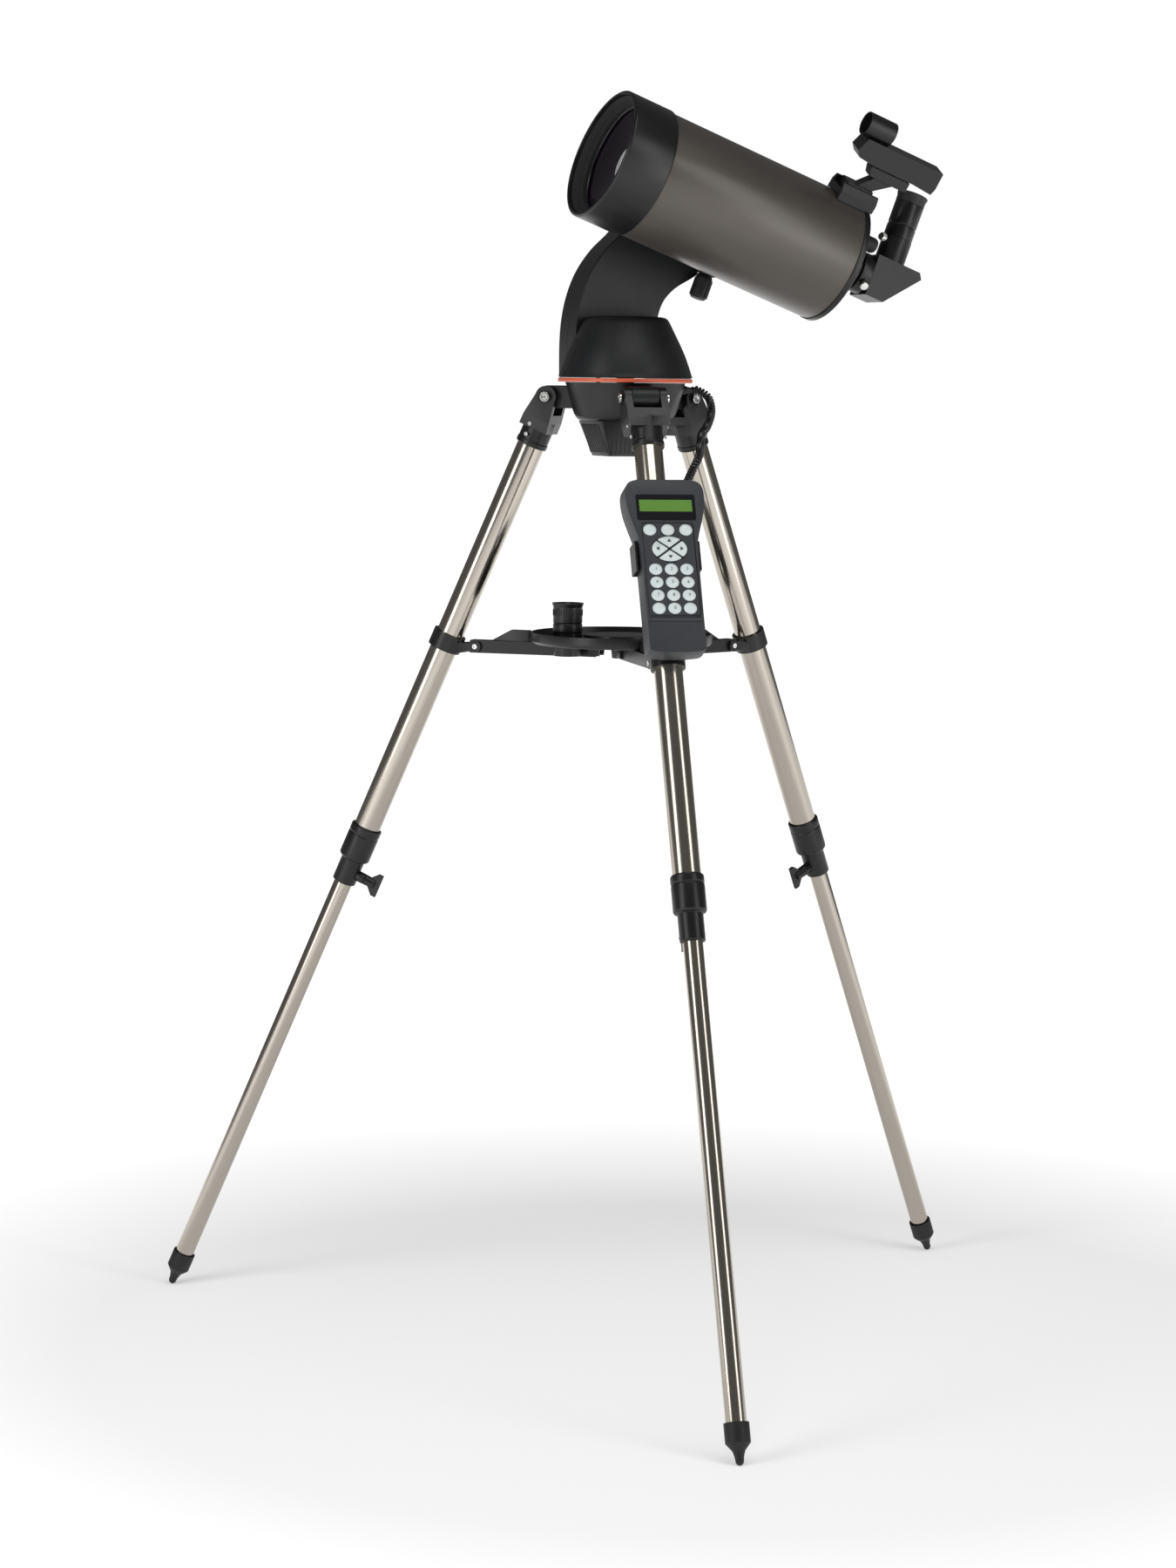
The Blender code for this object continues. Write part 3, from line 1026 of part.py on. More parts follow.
def focus_knob():
    """Focus knob and the screw that moves the mirror."""
    start = -TUBE_BACK - 2.0 * MM
    end = start - FOCUS_LENGTH
    tip = -TUBE_BACK + 12.0 * MM
    profile = [
        (0.0, tip), (3.0 * MM, tip), (3.0 * MM, start), (FOCUS_RADIUS - MM, start),
        (FOCUS_RADIUS, start - MM), (FOCUS_RADIUS, end + 2.0 * MM), (FOCUS_RADIUS - 1.5 * MM, end), (0.0, end),
    ]
    spot = Matrix.Translation((FOCUS_UP, FOCUS_SIDE, 0.0))
    turned("focus_knob", profile, "rubber", TUBE, MEDIUM, spot)


# ================================================================ diagonal and eyepiece
def diagonal():
    """Mirror diagonal: wedge-shaped body, nose for the visual back and eyepiece holder."""
    axis = -TUBE_BACK - DIAGONAL_AXIS
    face = -TUBE_BACK - 2.0 * GAP - BACK_NECK_LENGTH - BACK_COLLAR_LENGTH - GAP
    half = DIAGONAL_HALF
    reach = axis - half - 12.5 * MM
    outline = [(-half, face), (half, face), (half, reach + 4.5 * MM), (half - 7.0 * MM, reach), (-half, axis)]
    side = DIAGONAL_SIDE
    body = plate("diagonal_body", outline, -side, side, "black_plastic", TUBE, "xz")
    nose = EYEPIECE_BARREL
    upward = along((1.0, 0.0, 0.0), (0.0, 0.0, axis))
    join(
        body,
        rod("diagonal_nose", nose, face - MM, face + DIAGONAL_NOSE, "rubber", TUBE, MEDIUM),
        rod("holder_wall", HOLDER_RADIUS, half - MM, HOLDER_TOP, "rubber", TUBE, MEDIUM, upward),
    )
    light = EYEPIECE_BARREL - 3.0 * MM
    bore = EYEPIECE_BARREL + BORE_CLEARANCE
    screw = holder_screw_place()
    rise = [(0.0, 2 * HOLDER_TOP), (bore, 2 * HOLDER_TOP), (bore, half - 2.0 * MM)]
    rise += [(light - 2.0 * MM, half - 2.0 * MM), (light - 2.0 * MM, MM), (0.0, MM)]
    cut(
        body,
        rod("holder_screw_hole", 2.2 * MM, 10.0 * MM, 30.0 * MM, "rubber", TUBE, 14, screw),
        rod("light_way", light, axis - 4.0 * MM, face + 2 * DIAGONAL_NOSE, "rubber", TUBE, MEDIUM),
        turned("holder_bore", rise, "rubber", TUBE, MEDIUM, upward),
    )


def holder_screw_place():
    """Matrix of the eyepiece holder's thumb screw, whose axis points forwards and to the side."""
    spot = (HOLDER_TOP - 6.0 * MM, 0.0, -TUBE_BACK - DIAGONAL_AXIS)
    return along((0.0, -math.sin(HOLDER_SCREW_TURN), math.cos(HOLDER_SCREW_TURN)), spot)


def eyepiece():
    """Eyepiece in the diagonal, with its rubber cup as a separate ring."""
    axis = -TUBE_BACK - DIAGONAL_AXIS
    upward = along((1.0, 0.0, 0.0), (0.0, 0.0, axis))
    seat = HOLDER_TOP + GAP
    top = seat + EYEPIECE_BODY
    body = EYEPIECE_BODY_RADIUS
    low = seat - BARREL_LENGTH + 2.0 * MM
    profile = [
        (0.0, top - 3.0 * MM), (10.0 * MM, top - 3.0 * MM), (10.0 * MM, top + 5.0 * MM),
        (body - 3.5 * MM, top + 5.0 * MM), (body - 3.5 * MM, top), (body, top), (body, seat),
        (EYEPIECE_BARREL, seat), (EYEPIECE_BARREL, low), (13.6 * MM, low), (13.6 * MM, seat - 6.0 * MM),
        (0.0, seat - 6.0 * MM),
    ]
    turned("eyepiece_body", profile, "black_metal", TUBE, MEDIUM, upward)
    start = top + GAP
    inner = body - 3.5 * MM + GAP
    cup = [
        (inner, start), (body, start), (body, start + 6.0 * MM), (CUP_RADIUS, start + CUP_LENGTH),
        (CUP_RADIUS - 2.0 * MM, start + CUP_LENGTH), (inner, start + CUP_LENGTH - 3.5 * MM),
    ]
    turned("eyepiece_cup", cup, "rubber", TUBE, MEDIUM, upward)


# ================================================================ finder
def finder_shoe():
    """Block on top of the tube with the slot that takes the finder's foot."""
    half = SHOE_HALF_WIDTH
    slot = SHOE_SLOT
    deep = SHOE_TOP - SHOE_SLOT_DEPTH
    base = TUBE_RADIUS - 6.0 * MM
    outline = [(base, -half), (SHOE_TOP - 8.0 * MM, -half), (SHOE_TOP, -half + 5.0 * MM), (SHOE_TOP, -slot)]
    outline += [(deep, -slot - 2.0 * MM), (deep, slot + 2.0 * MM), (SHOE_TOP, slot)]
    outline += [(SHOE_TOP, half - 5.0 * MM), (SHOE_TOP - 8.0 * MM, half), (base, half)]
    shoe = plate("finder_shoe", outline, -SHOE_OVERHANG, SHOE_FRONT, "black_plastic", FINDER)
    wide = BACK_CELL_RADIUS + GAP
    narrow = TUBE_RADIUS + GAP
    step = BACK_CELL_LENGTH + GAP
    seat = [(0.0, 2 * SHOE_FRONT), (narrow, 2 * SHOE_FRONT), (narrow, step), (wide, step)]
    seat += [(wide, -2 * step), (0.0, -2 * step)]
    cut(shoe, turned("shoe_seat", seat, "rubber", FINDER, 2 * FINE))


def finder_mount():
    """Foot, leaning strut and cradle of the finder."""
    low = SHOE_TOP - SHOE_SLOT_DEPTH + GAP
    half = SHOE_SLOT - 2 * GAP
    foot_outline = [(low, -half - 1.4 * MM), (SHOE_TOP, -half), (SHOE_TOP + 2.0 * MM, -half)]
    foot_outline += [(SHOE_TOP + 2.0 * MM, half), (SHOE_TOP, half), (low, half + 1.4 * MM)]
    mount = plate("finder_mount", foot_outline, 6.0 * MM, 40.0 * MM, "black_plastic", FINDER)
    strut = [(SHOE_TOP + MM, 8.0 * MM), (SHOE_TOP + MM, 27.0 * MM), (BLOCK_BOTTOM + MM, 12.0 * MM)]
    strut.append((BLOCK_BOTTOM + MM, -14.0 * MM))
    cradle = [(BLOCK_BOTTOM, -29.0 * MM), (BLOCK_BOTTOM, 20.0 * MM), (BLOCK_TOP - 4.0 * MM, 23.0 * MM)]
    cradle += [(BLOCK_TOP, 23.0 * MM), (BLOCK_TOP, -29.0 * MM)]
    join(
        mount,
        plate("finder_strut", strut, -7.0 * MM, 7.0 * MM, "rubber", FINDER, "xz"),
        plate("finder_cradle", cradle, -9.0 * MM, 9.0 * MM, "rubber", FINDER, "xz"),
    )


def finder_body():
    """Red-dot sight: a tapered bar with a short open tube above its front end."""
    low = BLOCK_TOP + FINDER_TILT_GAP
    half = FINDER_HALF_WIDTH
    side = [(low, -30.0 * MM), (low - 2.0 * MM, -56.0 * MM), (low + 6.0 * MM, -58.0 * MM)]
    side += [(FINDER_TOP, -57.0 * MM), (FINDER_TOP, 45.0 * MM), (low + 9.0 * MM, 50.0 * MM)]
    side += [(low + 2.0 * MM, 44.0 * MM), (low, 24.0 * MM)]
    body = plate("finder_body", side, -half, half, "black_plastic", FINDER, "xz")
    centre = FINDER_TOP + SIGHT_RADIUS - 1.5 * MM
    spot = Matrix.Translation((centre, 0.0, 0.0))
    bore = SIGHT_RADIUS - SIGHT_WALL
    join(body, rod("sight_tube", SIGHT_RADIUS, 18.0 * MM, 53.0 * MM, "rubber", FINDER, MEDIUM, spot))
    cut(body, rod("sight_bore", bore, -20.0 * MM, 80.0 * MM, "rubber", FINDER, MEDIUM, spot))


# ================================================================ handset
def handset_outline():
    """Front view of the handset: half widths at distances below its top, mirrored."""
    end = HANDSET_LENGTH
    grip = HANDSET_GRIP / MM
    right = [(30.0, 1.2), (39.5, 4.5), (43.8, 12.0), (44.5, 23.0), (43.0, 36.0), (39.5, 50.0)]
    right += [(grip, HOLDER_CLIP_DROP / MM), (grip - 1.5, 84.0), (grip - 2.0, 150.0)]
    side = [(half * MM, -HANDSET_TOP - down * MM) for half, down in right]
    foot_half = HANDSET_GRIP - 2.0 * MM
    side += [(foot_half, -HANDSET_TOP - end + 8.0 * MM), (foot_half - 6.0 * MM, -HANDSET_TOP - end + 1.5 * MM)]
    side.append((12.0 * MM, -HANDSET_TOP - end))
    return side + [(-across, height) for across, height in reversed(side)]


def keypad_opening():
    """Outline of the sunk area that holds the keys."""
    last_row = KEY_FIRST_ROW + (KEY_COUNT[1] - 1) * KEY_PITCH[1]
    low = -HANDSET_TOP - last_row - KEY_HALF[1] - 2.0 * MM
    high = -HANDSET_TOP - MENU_ROW + KEY_HALF[1] + 2.0 * MM
    half = MENU_PITCH + KEY_HALF[0] + 1.5 * MM
    return rounded(rectangle(-half, half, low, high), 4.0 * MM, 3)


def oval(centre_across, centre_down, half, steps=10):
    """Key outline in the handset's front view."""
    turns = [2.0 * math.pi * i / steps for i in range(steps)]
    height = -HANDSET_TOP - centre_down
    return [(centre_across + half[0] * math.cos(a), height + half[1] * math.sin(a)) for a in turns]


def handset(leg):
    """Handset case with a sunk keypad area and a cord socket on its back."""
    face = HANDSET_BACK + HANDSET_DEPTH
    case = plate("handset_case", handset_outline(), HANDSET_BACK, face, "charcoal_plastic", leg, "yz")
    edge = case.modifiers.new("rounded edge", "BEVEL")
    edge.width = 4.0 * MM
    edge.segments = 2
    edge.limit_method = "ANGLE"
    edge.angle_limit = math.radians(60.0)
    sink = face - KEYPAD_SINK
    cut(case, plate("keypad_sink", keypad_opening(), sink, 2 * face, "rubber", leg, "yz"))
    out, across, down = HANDSET_SOCKET
    top = -HANDSET_TOP - down
    socket = rectangle(out - 6.0 * MM, HANDSET_BACK + MM, top - 12.0 * MM, top)
    side = (across - 6.0 * MM, across + 6.0 * MM)
    join(case, plate("handset_socket", socket, *side, "rubber", leg, "xz"))


def keys(leg):
    """Round keys on their mat, and the four-way pad that stands in a hole of the mat."""
    face = HANDSET_BACK + HANDSET_DEPTH
    floor = face - KEYPAD_SINK + KEYPAD_TRAVEL_GAP
    mat_top = floor + 1.0 * MM
    crown = face + 1.4 * MM
    mat = plate("keypad", inset(keypad_opening(), 0.5 * MM), floor, mat_top, "key_plastic", leg, "yz")
    columns, rows = KEY_COUNT
    places = [column - (columns - 1) / 2.0 for column in range(columns)]
    spots = [(MENU_PITCH * place, MENU_ROW) for place in places]
    spots += [
        (KEY_PITCH[0] * place, KEY_FIRST_ROW + KEY_PITCH[1] * row) for row in range(rows) for place in places
    ]
    for i, (across, down) in enumerate(spots):
        shape = oval(across, down, KEY_HALF)
        join(mat, plate(f"key_{i}", shape, mat_top - 0.5 * MM, crown, "rubber", leg, "yz"))
    hole = oval(0.0, PAD_ROW, (PAD_HALF[0] + 0.5 * MM, PAD_HALF[1] + 0.5 * MM), 24)
    cut(mat, plate("pad_hole", hole, 0.0, 2 * face, "rubber", leg, "yz"))
    plate("arrow_pad", oval(0.0, PAD_ROW, PAD_HALF, 24), floor, crown, "key_plastic", leg, "yz")


def handset_holder(leg):
    """Bracket that clips round the leg's upper tube and grips the handset's sides."""
    back = HANDSET_BACK - GAP
    front = back - HOLDER_PLATE
    top = -HANDSET_TOP - 55.0 * MM
    low = top - 80.0 * MM
    outline = rectangle(-20.0 * MM, 20.0 * MM, low, top)
    holder = plate("handset_holder", rounded(outline, 4.0 * MM, 2), front, back, "black_plastic", leg, "yz")
    bore = UPPER_TUBE_RADIUS + GAP
    ring = pipe("holder_ring", bore + 3.0 * MM, bore, low + 12.0 * MM, top - 12.0 * MM, "rubber", leg)
    deep = 4.0 * bore
    mouth = plate(
        "holder_mouth", rectangle(-deep, -4.0 * MM, 2 * low, 0.0), -deep, deep, "rubber", leg, "xz",
    )
    cut(ring, mouth)
    rib = rectangle(bore - MM, front + MM, low + 12.0 * MM, top - 12.0 * MM)
    join(holder, plate("holder_rib", rib, -7.0 * MM, 7.0 * MM, "rubber", leg, "xz"), ring)
    cut(holder, rod("holder_bore", bore, 2 * low, 0.0, "rubber", leg, MEDIUM))
    side = HANDSET_GRIP + GAP
    high = -HANDSET_TOP - HOLDER_CLIP_DROP
    for sign in (-1.0, 1.0):
        reach = sorted((sign * 18.0 * MM, sign * (side + 3.0 * MM)))
        wing = rectangle(front, back, high - 34.0 * MM, high)
        join(holder, plate(f"holder_wing_{sign:+.0f}", wing, *reach, "rubber", leg, "xz"))
        grip = sorted((sign * side, sign * (side + 3.0 * MM)))
        clip = rectangle(front + MM, HANDSET_BACK + 19.0 * MM, high - 34.0 * MM, high)
        join(holder, plate(f"holder_clip_{sign:+.0f}", clip, *grip, "rubber", leg, "xz"))


def handset_cord(leg):
    """Curly cord from the base's socket to the handset, as one tube of the coil's outside size."""
    side = Vector((math.cos(CORD_SOCKET_AZIMUTH), math.sin(CORD_SOCKET_AZIMUTH), 0.0))
    start = side * (CORD_SOCKET_REACH + 2.0 * GAP) + Vector((0.0, 0.0, -CORD_SOCKET_DROP))
    out, across, down = HANDSET_SOCKET
    bpy.context.view_layer.update()
    to_base = BASE.matrix_world.inverted() @ leg.matrix_world
    end = to_base @ Vector((out, across, -HANDSET_TOP - down + 2.0 * GAP))
    climb = to_base.to_3x3() @ Vector((0.0, 0.0, 1.0))
    route = [start, start + side * 6.0 * MM, start + side * 13.0 * MM]
    route += [Vector(point) * MM for point in CORD_DROP]
    route += [to_base @ (Vector((far, wide, -down)) * MM) for far, wide, down in CORD_LANDING]
    route += [end + climb * 12.0 * MM, end]
    curve = bpy.data.curves.new("handset_cord", "CURVE")
    curve.dimensions = "3D"
    curve.bevel_depth = CORD_RADIUS
    curve.bevel_resolution = 2
    curve.use_fill_caps = True
    spline = curve.splines.new("POLY")
    points = smooth_route(route, CORD_POINTS)
    spline.points.add(len(points) - 1)
    for node, point in zip(spline.points, points):
        node.co = (*point, 1.0)
    curve.materials.append(finish("rubber"))
    cord = bpy.data.objects.new("handset_cord", curve)
    bpy.context.scene.collection.objects.link(cord)
    cord.parent = BASE


# ================================================================ assembly
def build_tripod():
    """Legs, spreader and tray."""
    for name, azimuth in LEGS.items():
        leg = LEG_FRAMES[name]
        leg_yoke(name, leg)
        leg_tubes(name, leg)
        leg_clamp(name, leg)
        wing_screw(name, leg)
        foot(name, leg)
        spreader_collar(name, leg)
        spreader_arm(name, azimuth)
    level, seat = tray_hub()
    spare_eyepiece(level, tray(level, seat))


def build_mount():
    """Base, dome, fork arm and drives."""
    base_housing()
    trim_ring()
    battery_box()
    azimuth_gear()
    base_dome()
    fork_arm()
    motors()
    altitude_wheel()
    tube_clamp()
    clamp_knob()


def build_tube():
    """Optical tube with its optics, diagonal, eyepiece and finder."""
    dovetail_bar()
    barrel()
    front_cell()
    corrector_lens()
    back_cell()
    primary_mirror()
    visual_back()
    thumb_screw("back_thumb_screw", BACK_COLLAR_RADIUS, EYEPIECE_BARREL + GAP, back_screw_place(), TUBE)
    focus_knob()
    diagonal()
    thumb_screw("holder_thumb_screw", HOLDER_RADIUS, EYEPIECE_BARREL + GAP, holder_screw_place(), TUBE)
    eyepiece()
    finder_shoe()
    finder_mount()
    finder_body()


def build_handset():
    """Handset, its keys and holder on one leg, and the curly cord."""
    leg = LEG_FRAMES["handset"]
    handset(leg)
    keys(leg)
    handset_holder(leg)
    handset_cord(leg)


build_tripod()
build_mount()
build_tube()
build_handset()
bpy.context.view_layer.update()
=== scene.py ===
# %% [markdown]
# # A short-tube telescope on a motorised mount
#
# This lesson dresses a telescope whose frame, sizes and joints are already fixed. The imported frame
# gives every piece its place, so each cell only has to say what a piece looks like. Nothing here
# moves a joint or changes a size.

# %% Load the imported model
import json
import math

import bmesh
import bpy
from mathutils import Matrix, Vector


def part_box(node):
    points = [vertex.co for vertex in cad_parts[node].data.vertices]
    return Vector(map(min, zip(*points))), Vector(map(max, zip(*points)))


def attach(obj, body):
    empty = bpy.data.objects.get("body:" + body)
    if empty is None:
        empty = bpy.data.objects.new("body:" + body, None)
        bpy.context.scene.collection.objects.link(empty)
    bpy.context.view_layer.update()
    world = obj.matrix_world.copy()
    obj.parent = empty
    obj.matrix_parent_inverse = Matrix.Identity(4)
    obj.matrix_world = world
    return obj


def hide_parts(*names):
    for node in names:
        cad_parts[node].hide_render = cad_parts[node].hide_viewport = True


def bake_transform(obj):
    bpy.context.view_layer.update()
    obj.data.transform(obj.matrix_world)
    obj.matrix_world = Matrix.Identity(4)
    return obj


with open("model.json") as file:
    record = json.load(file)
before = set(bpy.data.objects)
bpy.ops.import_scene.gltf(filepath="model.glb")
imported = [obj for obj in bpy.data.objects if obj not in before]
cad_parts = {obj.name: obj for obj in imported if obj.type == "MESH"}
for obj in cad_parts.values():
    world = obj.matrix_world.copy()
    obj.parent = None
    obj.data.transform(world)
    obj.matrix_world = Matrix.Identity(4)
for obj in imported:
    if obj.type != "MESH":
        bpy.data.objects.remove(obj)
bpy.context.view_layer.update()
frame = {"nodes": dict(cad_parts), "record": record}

MM = 0.001

# %% [markdown]
# ## Frames of reference
#
# Each group of pieces is easiest to draw in its own axes: the mount about its azimuth axis, the tube
# about its optical axis, each leg about its pivot. The joints in the record hold those axes already,
# so the frames are read from them and can't drift away from the solids.

# %% Frames from the joints
joints = {joint["name"]: joint for joint in frame["record"]["behaviour"]["joints"]}


def point_of(name):
    return Vector(joints[name]["pos_m"])


def axis_of(name):
    return Vector(joints[name]["axis"]).normalized()


def axes(origin, y, z):
    """A frame from its origin, its Y and its Z."""
    x = y.cross(z).normalized()
    turn = Matrix((x, y, z)).transposed().to_4x4()
    return Matrix.Translation(origin) @ turn


BACK = 145 * MM  # altitude axis to the tube's back plate
FRONT = 169 * MM  # altitude axis to the tube's front lip
mount = Matrix.Translation(point_of("azimuth_turn"))
tube = axes(point_of("altitude_tilt"), Vector((0, 1, 0)), axis_of("tube_balance_slide"))
LEG_NAMES = ("handset", "right", "left")
legs = {
    name: axes(point_of(f"leg_fold_{name}"), axis_of(f"leg_fold_{name}"), axis_of(f"leg_extension_{name}"))
    for name in LEG_NAMES
}
AZIMUTHS = {
    name: math.atan2(*reversed((legs[name].translation - mount.translation).xy))
    for name in LEG_NAMES
}


def along(axis, origin=(0, 0, 0)):
    """Matrix that lays a shape's own Z along an axis."""
    turn = Vector((0, 0, 1)).rotation_difference(Vector(axis))
    return Matrix.Translation(origin) @ turn.to_matrix().to_4x4()


print("leg azimuths:", {name: round(math.degrees(a)) for name, a in AZIMUTHS.items()})

# %% [markdown]
# ## Camera, floor and light
#
# The telescope is dark and shiny, so the room matters more than the lamps: a dim grey surround keeps
# black plastic black, and tall bright panels beside it draw the streaks down the polished legs. The
# camera stands off to one side of the handset leg, a little below the tube. The floor glows a little
# more with distance, so that it runs into the white backdrop without an edge.

# %% Camera
scene = bpy.context.scene
scene.view_settings.view_transform = "Standard"
STAND = Vector((-1.6524, -3.7464, 0.0))  # camera from the azimuth axis, on plan
EYE_HEIGHT = 1.1043
LOOK = Vector((0.3929, 0.9127, -0.1123)).normalized()
ROLL = 0.0136
look_right = LOOK.cross(Vector((0, 0, 1))).normalized()
look_up = look_right.cross(LOOK)
camera_right = look_right * math.cos(ROLL) + look_up * math.sin(ROLL)
camera_up = look_up * math.cos(ROLL) - look_right * math.sin(ROLL)
lens = bpy.data.cameras.new("camera")
lens.sensor_fit = "VERTICAL"
lens.sensor_height = 36.0
lens.lens = 81.46
lens.clip_end = 100.0
camera = bpy.data.objects.new("camera", lens)
turn = Matrix((camera_right, camera_up, -LOOK)).transposed().to_4x4()
camera.matrix_world = Matrix.Translation((*(mount.translation.xy + STAND.xy), EYE_HEIGHT)) @ turn
scene.collection.objects.link(camera)
scene.camera = camera
print("camera at", tuple(round(x, 3) for x in camera.matrix_world.translation))

# %% Floor and light
FLOOR_REACH = 30  # metres each way
corners = [(x * FLOOR_REACH, y * FLOOR_REACH, 0) for x, y in ((-1, -1), (1, -1), (1, 1), (-1, 1))]
floor_mesh = bpy.data.meshes.new("floor")
floor_mesh.from_pydata(corners, [], [(0, 1, 2, 3)])
floor = bpy.data.objects.new("floor", floor_mesh)
scene.collection.objects.link(floor)
floor_look = bpy.data.materials.new("pale floor")
floor_look.use_nodes = True
floor_shader = floor_look.node_tree.nodes["Principled BSDF"]
floor_shader.inputs["Base Color"].default_value = (0.90, 0.90, 0.90, 1)
floor_shader.inputs["Roughness"].default_value = 0.9
floor_shader.inputs["Emission Color"].default_value = (1, 1, 1, 1)
floor_tree = floor_look.node_tree
away = floor_tree.nodes.new("ShaderNodeVectorMath")
away.operation = "LENGTH"
floor_tree.links.new(floor_tree.nodes.new("ShaderNodeTexCoord").outputs["Object"], away.inputs[0])
fade = floor_tree.nodes.new("ShaderNodeMapRange")
for key, value in (("From Min", 0.7), ("From Max", 1.8), ("To Min", 0.42), ("To Max", 1.0)):
    fade.inputs[key].default_value = value
floor_tree.links.new(away.outputs["Value"], fade.inputs["Value"])
floor_tree.links.new(fade.outputs["Result"], floor_shader.inputs["Emission Strength"])
floor_mesh.materials.append(floor_look)

ROOM_GREY = 0.14  # what polished metal sees between the panels
world = bpy.data.worlds.new("studio")
world.use_nodes = True
room = world.node_tree
seen = room.nodes.new("ShaderNodeLightPath").outputs["Is Camera Ray"]
backdrop = room.nodes.new("ShaderNodeMapRange")
backdrop.inputs["To Min"].default_value = ROOM_GREY
backdrop.inputs["To Max"].default_value = 1.0
room.links.new(seen, backdrop.inputs["Value"])
room.links.new(backdrop.outputs["Result"], room.nodes["Background"].inputs["Strength"])
room.nodes["Background"].inputs["Color"].default_value = (1, 1, 1, 1)
scene.world = world


def panel(name, azimuth, distance, height, size, radiance, target_height):
    """A soft rectangular light facing the telescope, as bright as it looks from it."""
    light = bpy.data.lights.new(name, "AREA")
    light.shape = "RECTANGLE"
    light.size, light.size_y = size
    light.energy = radiance * math.pi * size[0] * size[1]
    lamp = bpy.data.objects.new(name, light)
    turn = math.radians(azimuth)
    place = Vector((distance * math.cos(turn), distance * math.sin(turn), height))
    aim = (Vector((0, 0, target_height)) - place).to_track_quat("-Z", "Y")
    lamp.matrix_world = Matrix.Translation(place) @ aim.to_matrix().to_4x4()
    scene.collection.objects.link(lamp)


panel("left panel", -165, 3.0, 1.7, (1.0, 3.0), 3.4, 0.9)
panel("right panel", -62, 3.2, 1.5, (0.9, 3.0), 3.0, 0.8)
panel("top panel", -100, 1.2, 3.4, (2.2, 1.2), 3.2, 1.2)

# %% [markdown]
# ## Surfaces
#
# No real surface is one flat colour. Moulded plastic has a fine spark-eroded grain, cast parts are
# blotchy, drawn steel has streaks down its length. One shader group makes grain and blotches for
# every finish, a second makes streaks along a tube; each material sets its own sizes and keeps its
# own shader, so the whole object can be retuned in one place.

# %% Shader group for grain and blotches
def socket(tree, name, kind, way, value=None):
    made = tree.interface.new_socket(name, in_out=way, socket_type=f"NodeSocket{kind}")
    if value is not None:
        made.default_value = value
    return made


def maths(tree, operation, first, second):
    """A Math node on two values or sockets."""
    node = tree.nodes.new("ShaderNodeMath")
    node.operation = operation
    for slot, value in zip(node.inputs, (first, second)):
        if isinstance(value, (int, float)):
            slot.default_value = value
        else:
            tree.links.new(value, slot)
    return node.outputs[0]


def noise(tree, place, scale, detail):
    node = tree.nodes.new("ShaderNodeTexNoise")
    node.inputs["Detail"].default_value = detail
    tree.links.new(place, node.inputs["Vector"])
    if isinstance(scale, (int, float)):
        node.inputs["Scale"].default_value = scale
    else:
        tree.links.new(scale, node.inputs["Scale"])
    return node.outputs["Fac"]


grain = bpy.data.node_groups.new("grain and blotches", "ShaderNodeTree")
socket(grain, "Colour", "Color", "INPUT", (0.5, 0.5, 0.5, 1))
socket(grain, "Roughness", "Float", "INPUT", 0.5)
socket(grain, "Grain scale", "Float", "INPUT", 2500.0)
socket(grain, "Blotch", "Float", "INPUT", 0.15)
socket(grain, "Colour", "Color", "OUTPUT")
socket(grain, "Roughness", "Float", "OUTPUT")
socket(grain, "Height", "Float", "OUTPUT")
ends = grain.nodes.new("NodeGroupInput"), grain.nodes.new("NodeGroupOutput")
where = grain.nodes.new("ShaderNodeTexCoord").outputs["Object"]
fine = noise(grain, where, ends[0].outputs["Grain scale"], 2.0)
broad = noise(grain, where, 26.0, 5.0)
broad_share = maths(grain, "MULTIPLY", broad, 0.7)
fine_share = maths(grain, "MULTIPLY", fine, 0.3)
swing = maths(grain, "SUBTRACT", maths(grain, "ADD", broad_share, fine_share), 0.5)
amount = maths(grain, "MULTIPLY", swing, maths(grain, "MULTIPLY", ends[0].outputs["Blotch"], 2.0))
rough_swing = maths(grain, "MULTIPLY", amount, 0.35)
tint = grain.nodes.new("ShaderNodeVectorMath")
tint.operation = "SCALE"
grain.links.new(ends[0].outputs["Colour"], tint.inputs[0])
grain.links.new(maths(grain, "ADD", amount, 1.0), tint.inputs["Scale"])
grain.links.new(tint.outputs[0], ends[1].inputs["Colour"])
grain.links.new(maths(grain, "ADD", ends[0].outputs["Roughness"], rough_swing), ends[1].inputs["Roughness"])
grain.links.new(fine, ends[1].inputs["Height"])
print("group:", grain.name)

# %% Shader group for streaks along a tube
streaks = bpy.data.node_groups.new("drawn streaks", "ShaderNodeTree")
socket(streaks, "Colour", "Color", "INPUT", (0.5, 0.5, 0.5, 1))
socket(streaks, "Roughness", "Float", "INPUT", 0.3)
socket(streaks, "Amount", "Float", "INPUT", 0.1)
socket(streaks, "Colour", "Color", "OUTPUT")
socket(streaks, "Roughness", "Float", "OUTPUT")
socket(streaks, "Height", "Float", "OUTPUT")
ends = streaks.nodes.new("NodeGroupInput"), streaks.nodes.new("NodeGroupOutput")
stretch = streaks.nodes.new("ShaderNodeMapping")
stretch.inputs["Scale"].default_value = (900.0, 9.0, 1.0)
streaks.links.new(streaks.nodes.new("ShaderNodeTexCoord").outputs["UV"], stretch.inputs["Vector"])
lines = noise(streaks, stretch.outputs["Vector"], 1.0, 3.0)
amount = maths(streaks, "MULTIPLY", maths(streaks, "SUBTRACT", lines, 0.5), ends[0].outputs["Amount"])
tint = streaks.nodes.new("ShaderNodeVectorMath")
tint.operation = "SCALE"
streaks.links.new(ends[0].outputs["Colour"], tint.inputs[0])
streaks.links.new(maths(streaks, "ADD", amount, 1.0), tint.inputs["Scale"])
